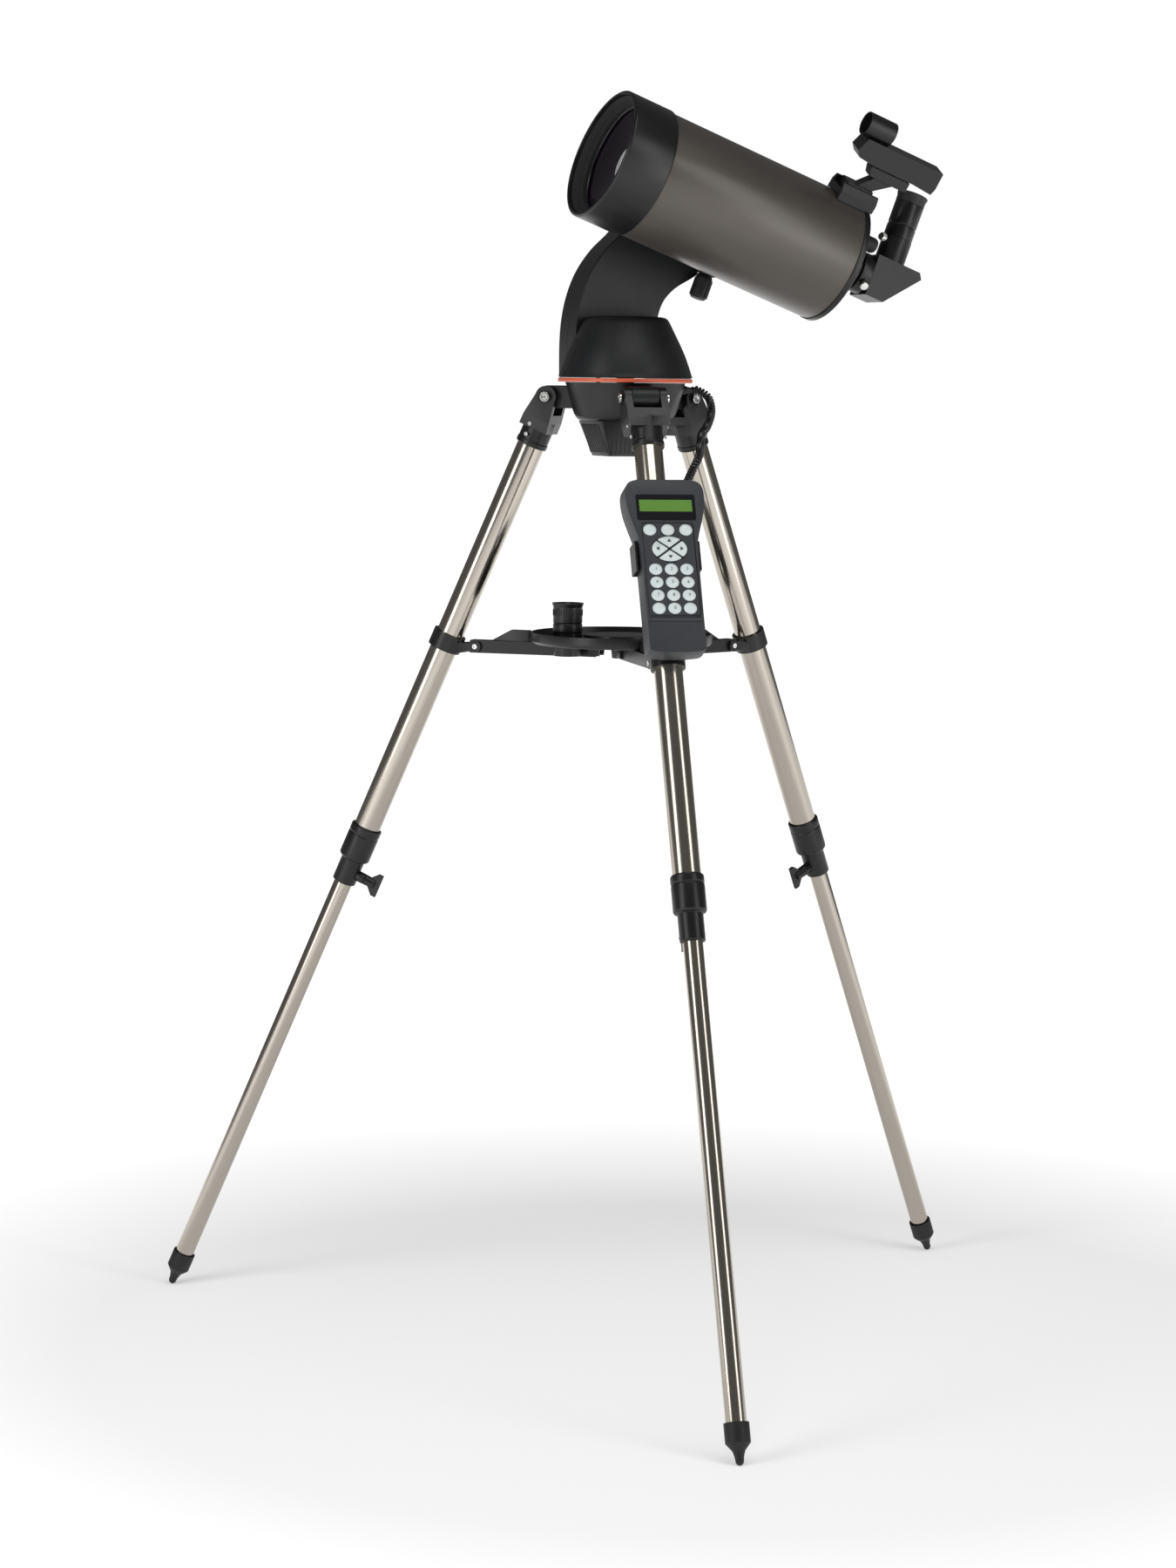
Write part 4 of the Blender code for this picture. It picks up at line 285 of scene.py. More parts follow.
streaks.links.new(tint.outputs[0], ends[1].inputs["Colour"])
streaks.links.new(maths(streaks, "ADD", ends[0].outputs["Roughness"], amount), ends[1].inputs["Roughness"])
streaks.links.new(lines, ends[1].inputs["Height"])
print("group:", streaks.name)


# %% Finishes
looks = {}


def surface(name, colour, rough, metal, group, depth, group_values, **shader_values):
    """A material: one Principled shader fed by a surface group, with a bump from its height."""
    made = bpy.data.materials.new(name)
    made.use_nodes = True
    tree = made.node_tree
    shader = tree.nodes["Principled BSDF"]
    shader.inputs["Metallic"].default_value = metal
    for key, value in shader_values.items():
        shader.inputs[key.replace("_", " ")].default_value = value
    detail = tree.nodes.new("ShaderNodeGroup")
    detail.node_tree = group
    detail.inputs["Colour"].default_value = (*colour, 1)
    detail.inputs["Roughness"].default_value = rough
    for key, value in group_values.items():
        detail.inputs[key].default_value = value
    tree.links.new(detail.outputs["Colour"], shader.inputs["Base Color"])
    tree.links.new(detail.outputs["Roughness"], shader.inputs["Roughness"])
    bump = tree.nodes.new("ShaderNodeBump")
    bump.inputs["Strength"].default_value = 1.0
    bump.inputs["Distance"].default_value = depth
    tree.links.new(detail.outputs["Height"], bump.inputs["Height"])
    tree.links.new(bump.outputs["Normal"], shader.inputs["Normal"])
    looks[name] = made
    return made


GRAINED = {"Grain scale": 1500.0, "Blotch": 0.18}
SMOOTH = {"Grain scale": 900.0, "Blotch": 0.12}
surface("black_plastic", (0.006, 0.006, 0.0065), 0.34, 0.0, grain, 0.00003, GRAINED, Specular_IOR_Level=0.4)
COARSE_GRAIN = {"Grain scale": 1100.0, "Blotch": 0.2}
surface(
    "charcoal_plastic", (0.008, 0.0085, 0.0095), 0.40, 0.0, grain, 0.00008, COARSE_GRAIN,
    Specular_IOR_Level=0.35,
)
surface("handset_plastic", (0.030, 0.032, 0.037), 0.45, 0.0, grain, 0.00004, GRAINED, Specular_IOR_Level=0.35)
surface("orange_trim", (0.58, 0.095, 0.040), 0.38, 0.0, grain, 0.00001, SMOOTH)
surface("brushed_steel", (0.44, 0.405, 0.355), 0.17, 1.0, streaks, 0.000004, {"Amount": 0.16})
surface("chrome", (0.78, 0.78, 0.76), 0.12, 1.0, grain, 0.000004, SMOOTH)
surface("rubber", (0.006, 0.006, 0.0065), 0.55, 0.0, grain, 0.00005, GRAINED)
surface(
    "barrel_paint", (0.078, 0.068, 0.059), 0.38, 0.5, grain, 0.000012,
    {"Grain scale": 2600.0, "Blotch": 0.10}, Coat_Weight=0.25, Coat_Roughness=0.2,
)
surface("black_metal", (0.005, 0.005, 0.0055), 0.32, 0.0, grain, 0.000015, SMOOTH, Specular_IOR_Level=0.4)
surface("mirror_glass", (0.82, 0.84, 0.86), 0.08, 1.0, grain, 0.000001, SMOOTH)
surface("spot_silver", (0.85, 0.86, 0.88), 0.38, 0.6, grain, 0.000001, SMOOTH)
surface("gear_metal", (0.45, 0.34, 0.16), 0.35, 1.0, grain, 0.00001, SMOOTH)
surface("key_plastic", (0.62, 0.68, 0.68), 0.35, 0.0, grain, 0.00001, SMOOTH)
surface("ink", (0.030, 0.034, 0.036), 0.50, 0.0, grain, 0.000001, SMOOTH)
surface("lining", (0.006, 0.006, 0.007), 0.85, 0.0, grain, 0.00004, GRAINED)
surface(
    "display", (0.075, 0.19, 0.020), 0.30, 0.0, grain, 0.000002, {"Grain scale": 700.0, "Blotch": 0.1},
    Emission_Strength=0.15, Emission_Color=(0.10, 0.26, 0.02, 1),
)
surface("window", (0.008, 0.008, 0.010), 0.08, 0.0, grain, 0.000002, SMOOTH)
surface("cord_skin", (0.008, 0.008, 0.009), 0.24, 0.0, grain, 0.00001, SMOOTH)
# Painted shade and painted reflection: the glass's dark violet tint darkens all that is seen through it, in
# place of the shade inside the tube, and its violet stands for the coating's reflection.
surface(
    "coated_glass", (0.045, 0.020, 0.055), 0.03, 0.0, grain, 0.0000005, SMOOTH, Transmission_Weight=0.9,
    IOR=1.5,
)
print("finishes:", len(looks))

# %% [markdown]
# ## Tools for the bench
#
# Most of a telescope is turned on a lathe, so the first tool revolves a profile with small radii on
# its corners, because a sharp corner never catches the light. The second extrudes an outline. The
# third takes a solid that is already right and only breaks its edges.

# %% Lathe
def softened(profile, radius, closed, steps=3):
    """Round the corners of a profile; points on the axis and the ends of an open one stay."""
    result = []
    count = len(profile)
    for i, corner in enumerate(profile):
        here = Vector(corner)
        if corner[0] < 1e-7 or (not closed and i in (0, count - 1)):
            result.append(here)
            continue
        before = Vector(profile[i - 1]) - here
        after = Vector(profile[(i + 1) % count]) - here
        if math.pi - before.angle(after) < math.radians(12):
            result.append(here)
            continue
        cut = min(radius, 0.42 * before.length, 0.42 * after.length)
        start, end = here + before.normalized() * cut, here + after.normalized() * cut
        for step in range(steps + 1):
            t = step / steps
            result.append(start * (1 - t) ** 2 + here * 2 * t * (1 - t) + end * t**2)
    return [(max(p[0], 0.0), p[1]) for p in result]


def shaded(mesh, angle=32):
    """Shade smoothly, but keep edges sharper than an angle."""
    mesh.shade_smooth()
    mesh.set_sharp_from_angle(angle=math.radians(angle))


def piece_from(name, bm, look, angle=32):
    """Close a bmesh into an object with one finish."""
    bmesh.ops.recalc_face_normals(bm, faces=bm.faces)
    mesh = bpy.data.meshes.new(name)
    bm.to_mesh(mesh)
    bm.free()
    mesh.materials.append(looks[look])
    shaded(mesh, angle)
    piece = bpy.data.objects.new(name, mesh)
    scene.collection.objects.link(piece)
    return piece


def lathe(name, profile, place, look, sides=96, soft=0.5 * MM):
    """Revolve (radius, height) points about Z, then lay the result in its place."""
    closed = all(radius > 1e-7 for radius, _ in profile)
    points = softened(profile, soft, closed) if soft else profile
    bm = bmesh.new()
    layer = bm.loops.layers.uv.new("UVMap")
    rings, run, runs = [], 0.0, []
    for i, (radius, height) in enumerate(points):
        run += (Vector(points[i]) - Vector(points[i - 1])).length if i else 0.0
        runs.append(run)
        turns = [2 * math.pi * k / sides for k in range(sides)] if radius > 1e-7 else [0.0]
        rings.append([bm.verts.new((radius * math.cos(a), radius * math.sin(a), height)) for a in turns])
    widest = max(radius for radius, _ in points)
    for i in range(len(points) if closed else len(points) - 1):
        j = (i + 1) % len(points)
        low, high = rings[i], rings[j]
        if len(low) == len(high) == 1:
            continue
        for k in range(sides):
            m = (k + 1) % sides
            corners = [(low[k % len(low)], k, runs[i]), (low[m % len(low)], k + 1, runs[i])]
            corners += [(high[m % len(high)], k + 1, runs[j]), (high[k % len(high)], k, runs[j])]
            seen, kept = set(), []
            for corner in corners:
                if corner[0] not in seen:
                    seen.add(corner[0])
                    kept.append(corner)
            face = bm.faces.new([corner[0] for corner in kept])
            for loop, (_, u, v) in zip(face.loops, kept):
                loop[layer].uv = (2 * math.pi * widest * u / sides, v)
    bmesh.ops.transform(bm, matrix=place, verts=bm.verts)
    return piece_from(name, bm, look)


def mm(*points):
    """Profile points given in millimetres."""
    return [(u * MM, v * MM) for u, v in points]


def pipe(outer, inner, low, high):
    """Profile of a plain tube."""
    return [(outer, high), (outer, low), (inner, low), (inner, high)]


def rod(radius, low, high):
    """Profile of a plain round bar."""
    return [(0.0, high), (radius, high), (radius, low), (0.0, low)]


# %% Extrusions, cuts and broken edges
def baked(piece):
    """Turn a piece's modifiers into plain mesh."""
    bpy.context.view_layer.update()
    ready = piece.evaluated_get(bpy.context.evaluated_depsgraph_get())
    mesh = bpy.data.meshes.new_from_object(ready)
    piece.modifiers.clear()
    piece.data = mesh
    return piece


def edged(piece, width, steps=3, angle=38):
    """Break a piece's sharp edges."""
    bevel = piece.modifiers.new("broken edges", "BEVEL")
    bevel.width = width
    bevel.segments = steps
    bevel.limit_method = "ANGLE"
    bevel.angle_limit = math.radians(angle)
    bevel.use_clamp_overlap = True
    bevel.harden_normals = True
    return baked(piece)


def extrusion(name, outline, low, high, plane, place, look, edge=0.0, steps=3):
    """Extrude an outline given in the xy, xz or yz plane."""
    lay = {
        "xy": lambda u, v, w: (u, v, w), "xz": lambda u, v, w: (u, w, v), "yz": lambda u, v, w: (w, u, v),
    }[plane]
    bm = bmesh.new()
    loops = [[bm.verts.new(lay(u, v, w)) for u, v in outline] for w in (low, high)]
    bm.faces.new(loops[0])
    bm.faces.new(loops[1])
    count = len(outline)
    for i in range(count):
        j = (i + 1) % count
        bm.faces.new((loops[0][i], loops[0][j], loops[1][j], loops[1][i]))
    bmesh.ops.transform(bm, matrix=place, verts=bm.verts)
    piece = piece_from(name, bm, look)
    return edged(piece, edge, steps) if edge else piece


def carved(piece, *tools, operation="DIFFERENCE"):
    """Cut tools from a piece, or join them, and throw the tools away."""
    for tool in tools:
        step = piece.modifiers.new("cut", "BOOLEAN")
        step.operation = operation
        step.solver = "EXACT"
        step.object = tool
    baked(piece)
    for tool in tools:
        bpy.data.objects.remove(tool)
    shaded(piece.data)
    return piece


def settle(piece, body, slot, *nodes):
    """Hang a finished piece on its body, and let it stand for solids of the frame."""
    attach(piece, body)
    if nodes:
        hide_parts(*nodes)
    return piece


owner = {node: body for body, members in frame["record"]["behaviour"]["bodies"].items() for node in members}
slot_of = {part["node"]: part["material_slot"] for part in frame["record"]["subparts"]}


def broken_edges(node, width, look=None, steps=2):
    """A copy of a frame solid with its edges broken, standing for that solid."""
    mesh = frame["nodes"][node].data.copy()
    bm = bmesh.new()
    bm.from_mesh(mesh)
    bmesh.ops.remove_doubles(bm, verts=bm.verts, dist=0.002 * MM)
    bmesh.ops.dissolve_limit(bm, angle_limit=math.radians(0.6), verts=bm.verts, edges=bm.edges)
    bm.to_mesh(mesh)
    bm.free()
    mesh.materials.clear()
    mesh.materials.append(looks[look or slot_of[node]])
    shaded(mesh, 30)
    piece = bpy.data.objects.new(f"{node}_finished", mesh)
    scene.collection.objects.link(piece)
    edged(piece, width, steps)
    return settle(piece, owner[node], slot_of[node], node)


def rectangle(left, right, low, high):
    return [(left, low), (right, low), (right, high), (left, high)]


def arc(u, v, radius, start, end, steps):
    """Points on an arc from one angle to another, in degrees."""
    turns = [math.radians(start + (end - start) * i / steps) for i in range(steps + 1)]
    return [(u + radius * math.cos(a), v + radius * math.sin(a)) for a in turns]


def oval(u, v, half_u, half_v, count=48):
    """Points round an ellipse."""
    turns = [2 * math.pi * i / count for i in range(count)]
    return [(u + half_u * math.cos(a), v + half_v * math.sin(a)) for a in turns]


def rounded_outline(outline, radius, steps=6):
    """Round an outline's corners; softened() needs it clear of the axis, so it moves out and back."""
    clear = 10
    moved = softened([(u + clear, v) for u, v in outline], radius, True, steps)
    return [(u - clear, v) for u, v in moved]


# %% [markdown]
# ## The curly cord
#
# A handset lead is a thin black wire wound into a tight spring. Its real length is that of the
# wire, not of the spring. The line it follows leaves the base sideways, falls past the leg's
# shoulder and slips behind the handset. Winding a helix about that line gives the wire's own path,
# and a Geometry Nodes tree sweeps a circle along it.

# %% Path of the wound wire
HANDSET_TOP = 117.5 * MM  # leg pivot to the handset's top
HANDSET_BACK = 24 * MM
HANDSET_DEPTH = 27 * MM
SOCKET_AZIMUTH = math.radians(-14)
GAP = 0.3 * MM
cord_side = Vector((math.cos(SOCKET_AZIMUTH), math.sin(SOCKET_AZIMUTH), 0))
cord_start = mount @ (cord_side * (70 * MM + 2 * GAP) + Vector((0, 0, -10 * MM)))
leg = legs["handset"]
climb = leg.to_3x3() @ Vector((0, 0, 1))
cord_end = leg @ Vector((18 * MM, 28 * MM, -HANDSET_TOP - 30 * MM + 2 * GAP))
DROP = [(92, -28, -18), (90, -42, -34), (77, -60, -50), (58, -84, -62)]  # mm from the mount's axis
LANDING = [(8, 56, 72), (13, 44, 94), (16.5, 34, 114)]  # mm out, across and down the leg
route = [cord_start, cord_start + cord_side * 6 * MM, cord_start + cord_side * 13 * MM]
route += [mount @ (Vector(point) * MM) for point in DROP]
route += [leg @ (Vector((out, across, -down)) * MM) for out, across, down in LANDING]
route += [cord_end + climb * 12 * MM, cord_end]


def smooth_line(points, count):
    """Points on a Catmull-Rom curve through a route."""
    padded = [2 * points[0] - points[1]] + points + [2 * points[-1] - points[-2]]
    spans = len(points) - 1
    result = []
    for i in range(count + 1):
        position = spans * i / count
        span = min(int(position), spans - 1)
        t = position - span
        a, b, c, d = padded[span : span + 4]
        curve = 2 * b + (c - a) * t + (2 * a - 5 * b + 4 * c - d) * t**2 + (3 * b - a - 3 * c + d) * t**3
        result.append(0.5 * curve)
    return result


def even_line(points, step):
    """Points a fixed step apart along a line."""
    result, carry = [points[0]], 0.0
    for a, b in zip(points, points[1:]):
        length = (b - a).length
        place = step - carry
        while place <= length:
            result.append(a.lerp(b, place / length))
            place += step
        carry = (carry + length) % step if length else carry
    return result


def wound(line, radius, pitch, tail, per_turn=14):
    """Helix about a line, with straight tails that swell into the winding."""
    fine_line = even_line(line, pitch / per_turn)
    spoke = (fine_line[1] - fine_line[0]).normalized().orthogonal().normalized()
    result = []
    count = len(fine_line)
    for i, centre in enumerate(fine_line):
        ahead = (fine_line[min(i + 1, count - 1)] - fine_line[max(i - 1, 0)]).normalized()
        spoke = (spoke - ahead * spoke.dot(ahead)).normalized()
        near_end = min(i, count - 1 - i) * pitch / per_turn
        swell = min(1.0, max(0.0, (near_end - tail) / (2.2 * pitch)))
        swell = swell * swell * (3 - 2 * swell)
        turn = 2 * math.pi * i / per_turn
        result.append(
            centre + (spoke * math.cos(turn) + ahead.cross(spoke) * math.sin(turn)) * radius * swell
        )
    return result


WIRE = 3.1 * MM
wire_path = wound(smooth_line(route, 240), 3.4 * MM, 3.9 * MM, 3 * MM)


# %% Sweep tree and the cord
def new_tree(name, *inputs):
    """An empty Geometry Nodes tree with named inputs and its two end nodes."""
    tree = bpy.data.node_groups.new(name, "GeometryNodeTree")
    socket(tree, "Geometry", "Geometry", "INPUT")
    for label, kind, value in inputs:
        socket(tree, label, kind, "INPUT", value)
    socket(tree, "Geometry", "Geometry", "OUTPUT")
    return tree, tree.nodes.new("NodeGroupInput"), tree.nodes.new("NodeGroupOutput")


def step(tree, kind, links=(), **values):
    """A node, its plain input values, and links into it by input name or number."""
    node = tree.nodes.new(f"GeometryNode{kind}" if not kind.startswith(("Function", "Shader")) else kind)
    for key, value in values.items():
        if hasattr(node, key):
            setattr(node, key, value)
        else:
            node.inputs[key.replace("_", " ")].default_value = value
    for key, source in links:
        tree.links.new(source, node.inputs[key])
    return node


def finish_tree(tree, end, geometry, material):
    """Make instances real, give them their material and hand them to the output."""
    real = step(tree, "RealizeInstances", [("Geometry", geometry)])
    dressed = step(tree, "SetMaterial", [("Geometry", real.outputs[0]), ("Material", material)])
    tree.links.new(dressed.outputs[0], end.inputs[0])


def grown(name, tree, source, values, place=Matrix()):
    """Run a tree once on a source mesh or curve and keep the plain mesh it makes."""
    maker = bpy.data.objects.new(name, source)
    scene.collection.objects.link(maker)
    modifier = maker.modifiers.new("grow", "NODES")
    modifier.node_group = tree
    named = {item.name: item.identifier for item in tree.interface.items_tree if item.in_out == "INPUT"}
    for key, value in values.items():
        modifier[named[key]] = value
    bpy.context.view_layer.update()
    ready = maker.evaluated_get(bpy.context.evaluated_depsgraph_get())
    mesh = bpy.data.meshes.new_from_object(ready)
    mesh.transform(place)
    bpy.data.objects.remove(maker)
    piece = bpy.data.objects.new(name, mesh)
    scene.collection.objects.link(piece)
    shaded(piece.data)
    return piece


sweep, sweep_in, sweep_out = new_tree(
    "sweep a wire", ("Radius", "Float", 0.0015), ("Sides", "Int", 10), ("Material", "Material", None)
)
ring = step(
    sweep, "CurvePrimitiveCircle",
    [("Radius", sweep_in.outputs["Radius"]), ("Resolution", sweep_in.outputs["Sides"])],
)
swept = step(
    sweep, "CurveToMesh",
    [("Curve", sweep_in.outputs["Geometry"]), ("Profile Curve", ring.outputs[0])], Fill_Caps=True,
)
finish_tree(sweep, sweep_out, swept.outputs[0], sweep_in.outputs["Material"])


def line_of(name, points):
    """A poly curve through points."""
    curve = bpy.data.curves.new(name, "CURVE")
    curve.dimensions = "3D"
    spline = curve.splines.new("POLY")
    spline.points.add(len(points) - 1)
    for node, point in zip(spline.points, points):
        node.co = (*point, 1.0)
    return curve


wire_values = {"Radius": WIRE / 2, "Sides": 10, "Material": looks["cord_skin"]}
cord = grown("curly_cord", sweep, line_of("wire line", wire_path), wire_values)
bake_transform(cord)
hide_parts("handset_cord")
boot = mm((0, 9), (2.2, 9), (3.2, 4), (4.6, 0), (0, 0))
settle(
    lathe("cord_boot_base", boot, along(cord_side, cord_start - cord_side * 0.4 * MM), "rubber", 32), "base",
    "rubber",
)
settle(
    lathe("cord_boot_handset", boot, along(climb, cord_end - climb * 0.4 * MM), "rubber", 32), "leg_handset",
    "rubber",
)
print("cord:", len(cord.data.polygons), "faces")

# %% [markdown]
# ## The optical tube
#
# The tube is rolled sheet with a metallic grey-brown paint. At the front a black cast ring holds a
# thick, deeply hollow lens with a violet coating; the glass's dark violet tint is painted shade and
# painted reflection: it darkens what lies behind it in place of the shade inside the tube, and its
# violet stands for the coating's reflection. The mirrored spot in its middle is the telescope's second
# mirror. At the back a shallow ring closes the tube. All of them are turned parts, so all of them come
# off the lathe, with many sides, because the rims are the largest circles in the whole picture.

# %% Barrel and its black lining
barrel_back, barrel_front = -BACK + 7.3 * MM, FRONT - 56.3 * MM
barrel = lathe(
    "painted_barrel", pipe(73 * MM, 71.8 * MM, barrel_back, barrel_front), tube, "barrel_paint", 160,
    0.2 * MM,
)
settle(barrel, "optical_tube", "barrel_paint", "tube_barrel")
lining = lathe(
    "barrel_lining", pipe(71.6 * MM, 71.3 * MM, barrel_back + 10 * MM, barrel_front - 9 * MM), tube, "lining",
    96, 0,
)
settle(lining, "optical_tube", "black_metal")

# %% Front ring
LENS_CURVE = 170 * MM
LENS_RADIUS = 63.2 * MM
lens_middle = FRONT - 33 * MM


def sag(radius):
    """How far the hollow face of the lens stands forward at a radius."""
    return LENS_CURVE - math.sqrt(LENS_CURVE**2 - radius**2)


low = FRONT - 56 * MM
rim = lens_middle + sag(LENS_RADIUS)
ledge = lens_middle - 10 * MM + sag(LENS_RADIUS - 4 * MM) - GAP
bore = LENS_RADIUS + GAP
ring_profile = [
    (73 * MM, FRONT), (75 * MM, FRONT - 1.6 * MM), (75 * MM, low + 1.2 * MM), (73.8 * MM, low),
    (71.5 * MM, low), (71.5 * MM, low - 8 * MM), (68.5 * MM, low - 8 * MM), (bore - 3 * MM, ledge - 6 * MM),
    (bore - 3 * MM, ledge), (bore, ledge + MM), (bore, rim + GAP), (bore - 3 * MM, rim + 2 * GAP),
    (bore - 2.4 * MM, rim + 2.4 * MM), (bore - 0.4 * MM, rim + 3.2 * MM), (bore + 0.2 * MM, rim + 6 * MM),
    (bore + 3.2 * MM, rim + 7 * MM), (bore + 4.2 * MM, rim + 11 * MM), (70.5 * MM, FRONT - 5 * MM),
    (70.5 * MM, FRONT),
]
front_ring = lathe("front_ring", ring_profile, tube, "black_metal", 160, 0.6 * MM)
settle(front_ring, "optical_tube", "black_metal", "front_cell")

lip_profile = [
    (70.3 * MM, FRONT - 4.6 * MM), (67.2 * MM, rim + 11.2 * MM), (66.2 * MM, rim + 7.4 * MM),
    (63.4 * MM, rim + 6.4 * MM),
    (63.0 * MM, rim + 3.6 * MM), (62.6 * MM, rim + 3.6 * MM), (63.0 * MM, rim + 6.8 * MM),
    (65.8 * MM, rim + 7.8 * MM),
    (66.8 * MM, rim + 11.4 * MM), (69.8 * MM, FRONT - 4.4 * MM),
]
settle(lathe("front_ring_lining", lip_profile, tube, "lining", 160, 0), "optical_tube", "black_metal")

# %% Lens with its mirrored spot
radii = [LENS_RADIUS * i / 14 for i in range(15)]
front_face = [(r, lens_middle + sag(r)) for r in radii]
back_face = [(r, lens_middle - 10 * MM + sag(r)) for r in reversed(radii)]
meniscus = lathe("meniscus_lens", front_face + back_face, tube, "coated_glass", 128, 0)
settle(meniscus, "optical_tube", "coated_glass", "corrector_lens")
SPOT_RADIUS = 21.5 * MM
spot_low = lens_middle + sag(SPOT_RADIUS) + 0.1 * MM
spot = lathe(
    "mirrored_spot", rod(SPOT_RADIUS, spot_low, spot_low + 0.3 * MM), tube, "spot_silver", 64, 0.1 * MM,
)
settle(spot, "optical_tube", "mirror_glass")
spot_collar = lathe(
    "spot_baffle", pipe(20.5 * MM, 19.2 * MM, lens_middle - 40 * MM, lens_middle - 9.6 * MM), tube, "lining",
    64, 0,
)
settle(spot_collar, "optical_tube", "black_metal")
print("lens stands", round((FRONT - lens_middle) * 1000), "mm inside the lip")

# %% Back ring, visual back and knobs
back_profile = [
    (74 * MM, -BACK + 7 * MM), (74 * MM, -BACK + 1.2 * MM), (72.8 * MM, -BACK), (15 * MM, -BACK),
    (15 * MM, -BACK + 89 * MM), (16.2 * MM, -BACK + 89 * MM), (18 * MM, -BACK + 69 * MM),
    (18 * MM, -BACK + 4 * MM), (68.5 * MM, -BACK + 4 * MM), (68.5 * MM, -BACK + 15 * MM),
    (71.5 * MM, -BACK + 15 * MM), (71.5 * MM, -BACK + 7 * MM),
]
back_ring = lathe("back_ring", back_profile, tube, "black_metal", 160, 0.5 * MM)
settle(back_ring, "optical_tube", "black_metal", "back_cell")
neck_front = -BACK - GAP
neck_step = neck_front - 26 * MM
neck_end = neck_step - 15 * MM
neck_profile = [
    (16.1 * MM, neck_front), (25 * MM, neck_front), (25 * MM, neck_front - 4 * MM),
    (20 * MM, neck_front - 5 * MM), (20 * MM, neck_front - 12 * MM), (19 * MM, neck_front - 12.6 * MM),
    (19 * MM, neck_front - 14 * MM), (20 * MM, neck_front - 14.6 * MM), (20 * MM, neck_step),
    (24 * MM, neck_step - MM), (24 * MM, neck_end + MM), (23 * MM, neck_end), (16.1 * MM, neck_end),
]
visual_back = lathe("eyepiece_neck", neck_profile, tube, "black_metal", 96, 0.4 * MM)
settle(visual_back, "optical_tube", "black_metal", "visual_back")

# %% [markdown]
# ## Ribs round knobs
#
# Every knob on the telescope has the same trick: a ring of small ribs so that cold fingers can turn
# it. One tree places a block at each point of a circle and turns it to face outwards. Its count,
# radius and block size are inputs, so the fat clamp knob and the tiny thumb screws share it.

# %% Ring-of-ribs tree
ribs, ribs_in, ribs_out = new_tree(
    "ring of ribs", ("Count", "Int", 24), ("Radius", "Float", 0.01),
    ("Size", "Vector", (0.001, 0.001, 0.01)), ("Material", "Material", None),
)
circle = step(
    ribs, "MeshCircle", [("Vertices", ribs_in.outputs["Count"]), ("Radius", ribs_in.outputs["Radius"])],
)
block = step(ribs, "MeshCube", [("Size", ribs_in.outputs["Size"])])
index = step(ribs, "InputIndex")
share = maths(ribs, "DIVIDE", 2 * math.pi, ribs_in.outputs["Count"])
facing = step(ribs, "ShaderNodeCombineXYZ", [("Z", maths(ribs, "MULTIPLY", index.outputs[0], share))])
standing = step(
    ribs, "InstanceOnPoints",
    [("Points", circle.outputs[0]), ("Instance", block.outputs[0]), ("Rotation", facing.outputs[0])],
)
finish_tree(ribs, ribs_out, standing.outputs[0], ribs_in.outputs["Material"])


def rib_ring(name, count, radius, size, place, look):
    """Ribs round a knob, in their place, with their edges broken."""
    values = {"Count": count, "Radius": radius, "Size": size, "Material": looks[look]}
    made = grown(name, ribs, bpy.data.meshes.new(name), values, place)
    return edged(made, 0.22 * min(size[0], size[1]), 2)


focus_place = tube @ Matrix.Translation((30 * MM, -20 * MM, 0))
focus_profile = [
    (0.0, -BACK + 12 * MM), (3 * MM, -BACK + 12 * MM), (3 * MM, -BACK - 2 * MM), (7.4 * MM, -BACK - 2 * MM),
    (8.4 * MM, -BACK - 3.4 * MM), (8.4 * MM, -BACK - 31 * MM), (7 * MM, -BACK - 33 * MM),
    (0.0, -BACK - 33 * MM),
]
settle(
    lathe("focus_knob_core", focus_profile, focus_place, "rubber", 64), "focus_knob", "rubber", "focus_knob",
)
focus_grip = focus_place @ Matrix.Translation((0, 0, -BACK - 17.5 * MM))
focus_ribs = rib_ring("focus_knob_ribs", 28, 8.4 * MM, (1.1 * MM, 1.0 * MM, 24 * MM), focus_grip, "rubber")
settle(focus_ribs, "focus_knob", "rubber")


def chrome_screw(label, node, wall):
    """Knurled thumb screw on its joint's axis; its node, its body and its joint share a name."""
    place = along(axis_of(f"{node}_turn"), point_of(f"{node}_turn"))
    head = wall + 2.5 * MM
    tip = 16.1 * MM
    profile = [
        (0.0, head + 7 * MM), (4.2 * MM, head + 7 * MM), (4.7 * MM, head + 6.3 * MM),
        (4.7 * MM, head + 0.8 * MM),
        (4.0 * MM, head), (1.9 * MM, head), (1.9 * MM, tip), (0.0, tip),
    ]
    settle(lathe(f"{label}_core", profile, place, "chrome", 48, 0.3 * MM), node, "chrome", node)
    grip = place @ Matrix.Translation((0, 0, head + 3.6 * MM))
    knurl = rib_ring(f"{label}_knurl", 30, 4.65 * MM, (0.6 * MM, 0.55 * MM, 4.8 * MM), grip, "chrome")
    settle(knurl, node, "chrome")


chrome_screw("back_screw", "back_thumb_screw", 24 * MM)
chrome_screw("holder_screw", "holder_thumb_screw", 17.6 * MM)
knob_place = along(axis_of("clamp_knob_turn"), point_of("clamp_knob_turn"))
knob_profile = mm((0, 89), (8.2, 89), (9.6, 87), (10, 65), (8.4, 61), (3, 61), (3, 43), (0, 43))
settle(lathe("clamp_knob_core", knob_profile, knob_place, "rubber", 64), "clamp_knob", "rubber", "clamp_knob")
knob_grip = knob_place @ Matrix.Translation((0, 0, 76 * MM))
knob_ribs = rib_ring("clamp_knob_ribs", 12, 9.6 * MM, (2.4 * MM, 2.6 * MM, 21 * MM), knob_grip, "rubber")
settle(knob_ribs, "clamp_knob", "rubber")
print("ribs on two knobs and two screws")

# %% [markdown]
# ## Eyepieces
#
# An eyepiece is a stack of turned rings: chromed barrel, black body, a rubber cup that flares to
# meet the eye. The eye lens is a small dark glass dome at the bottom of the cup.

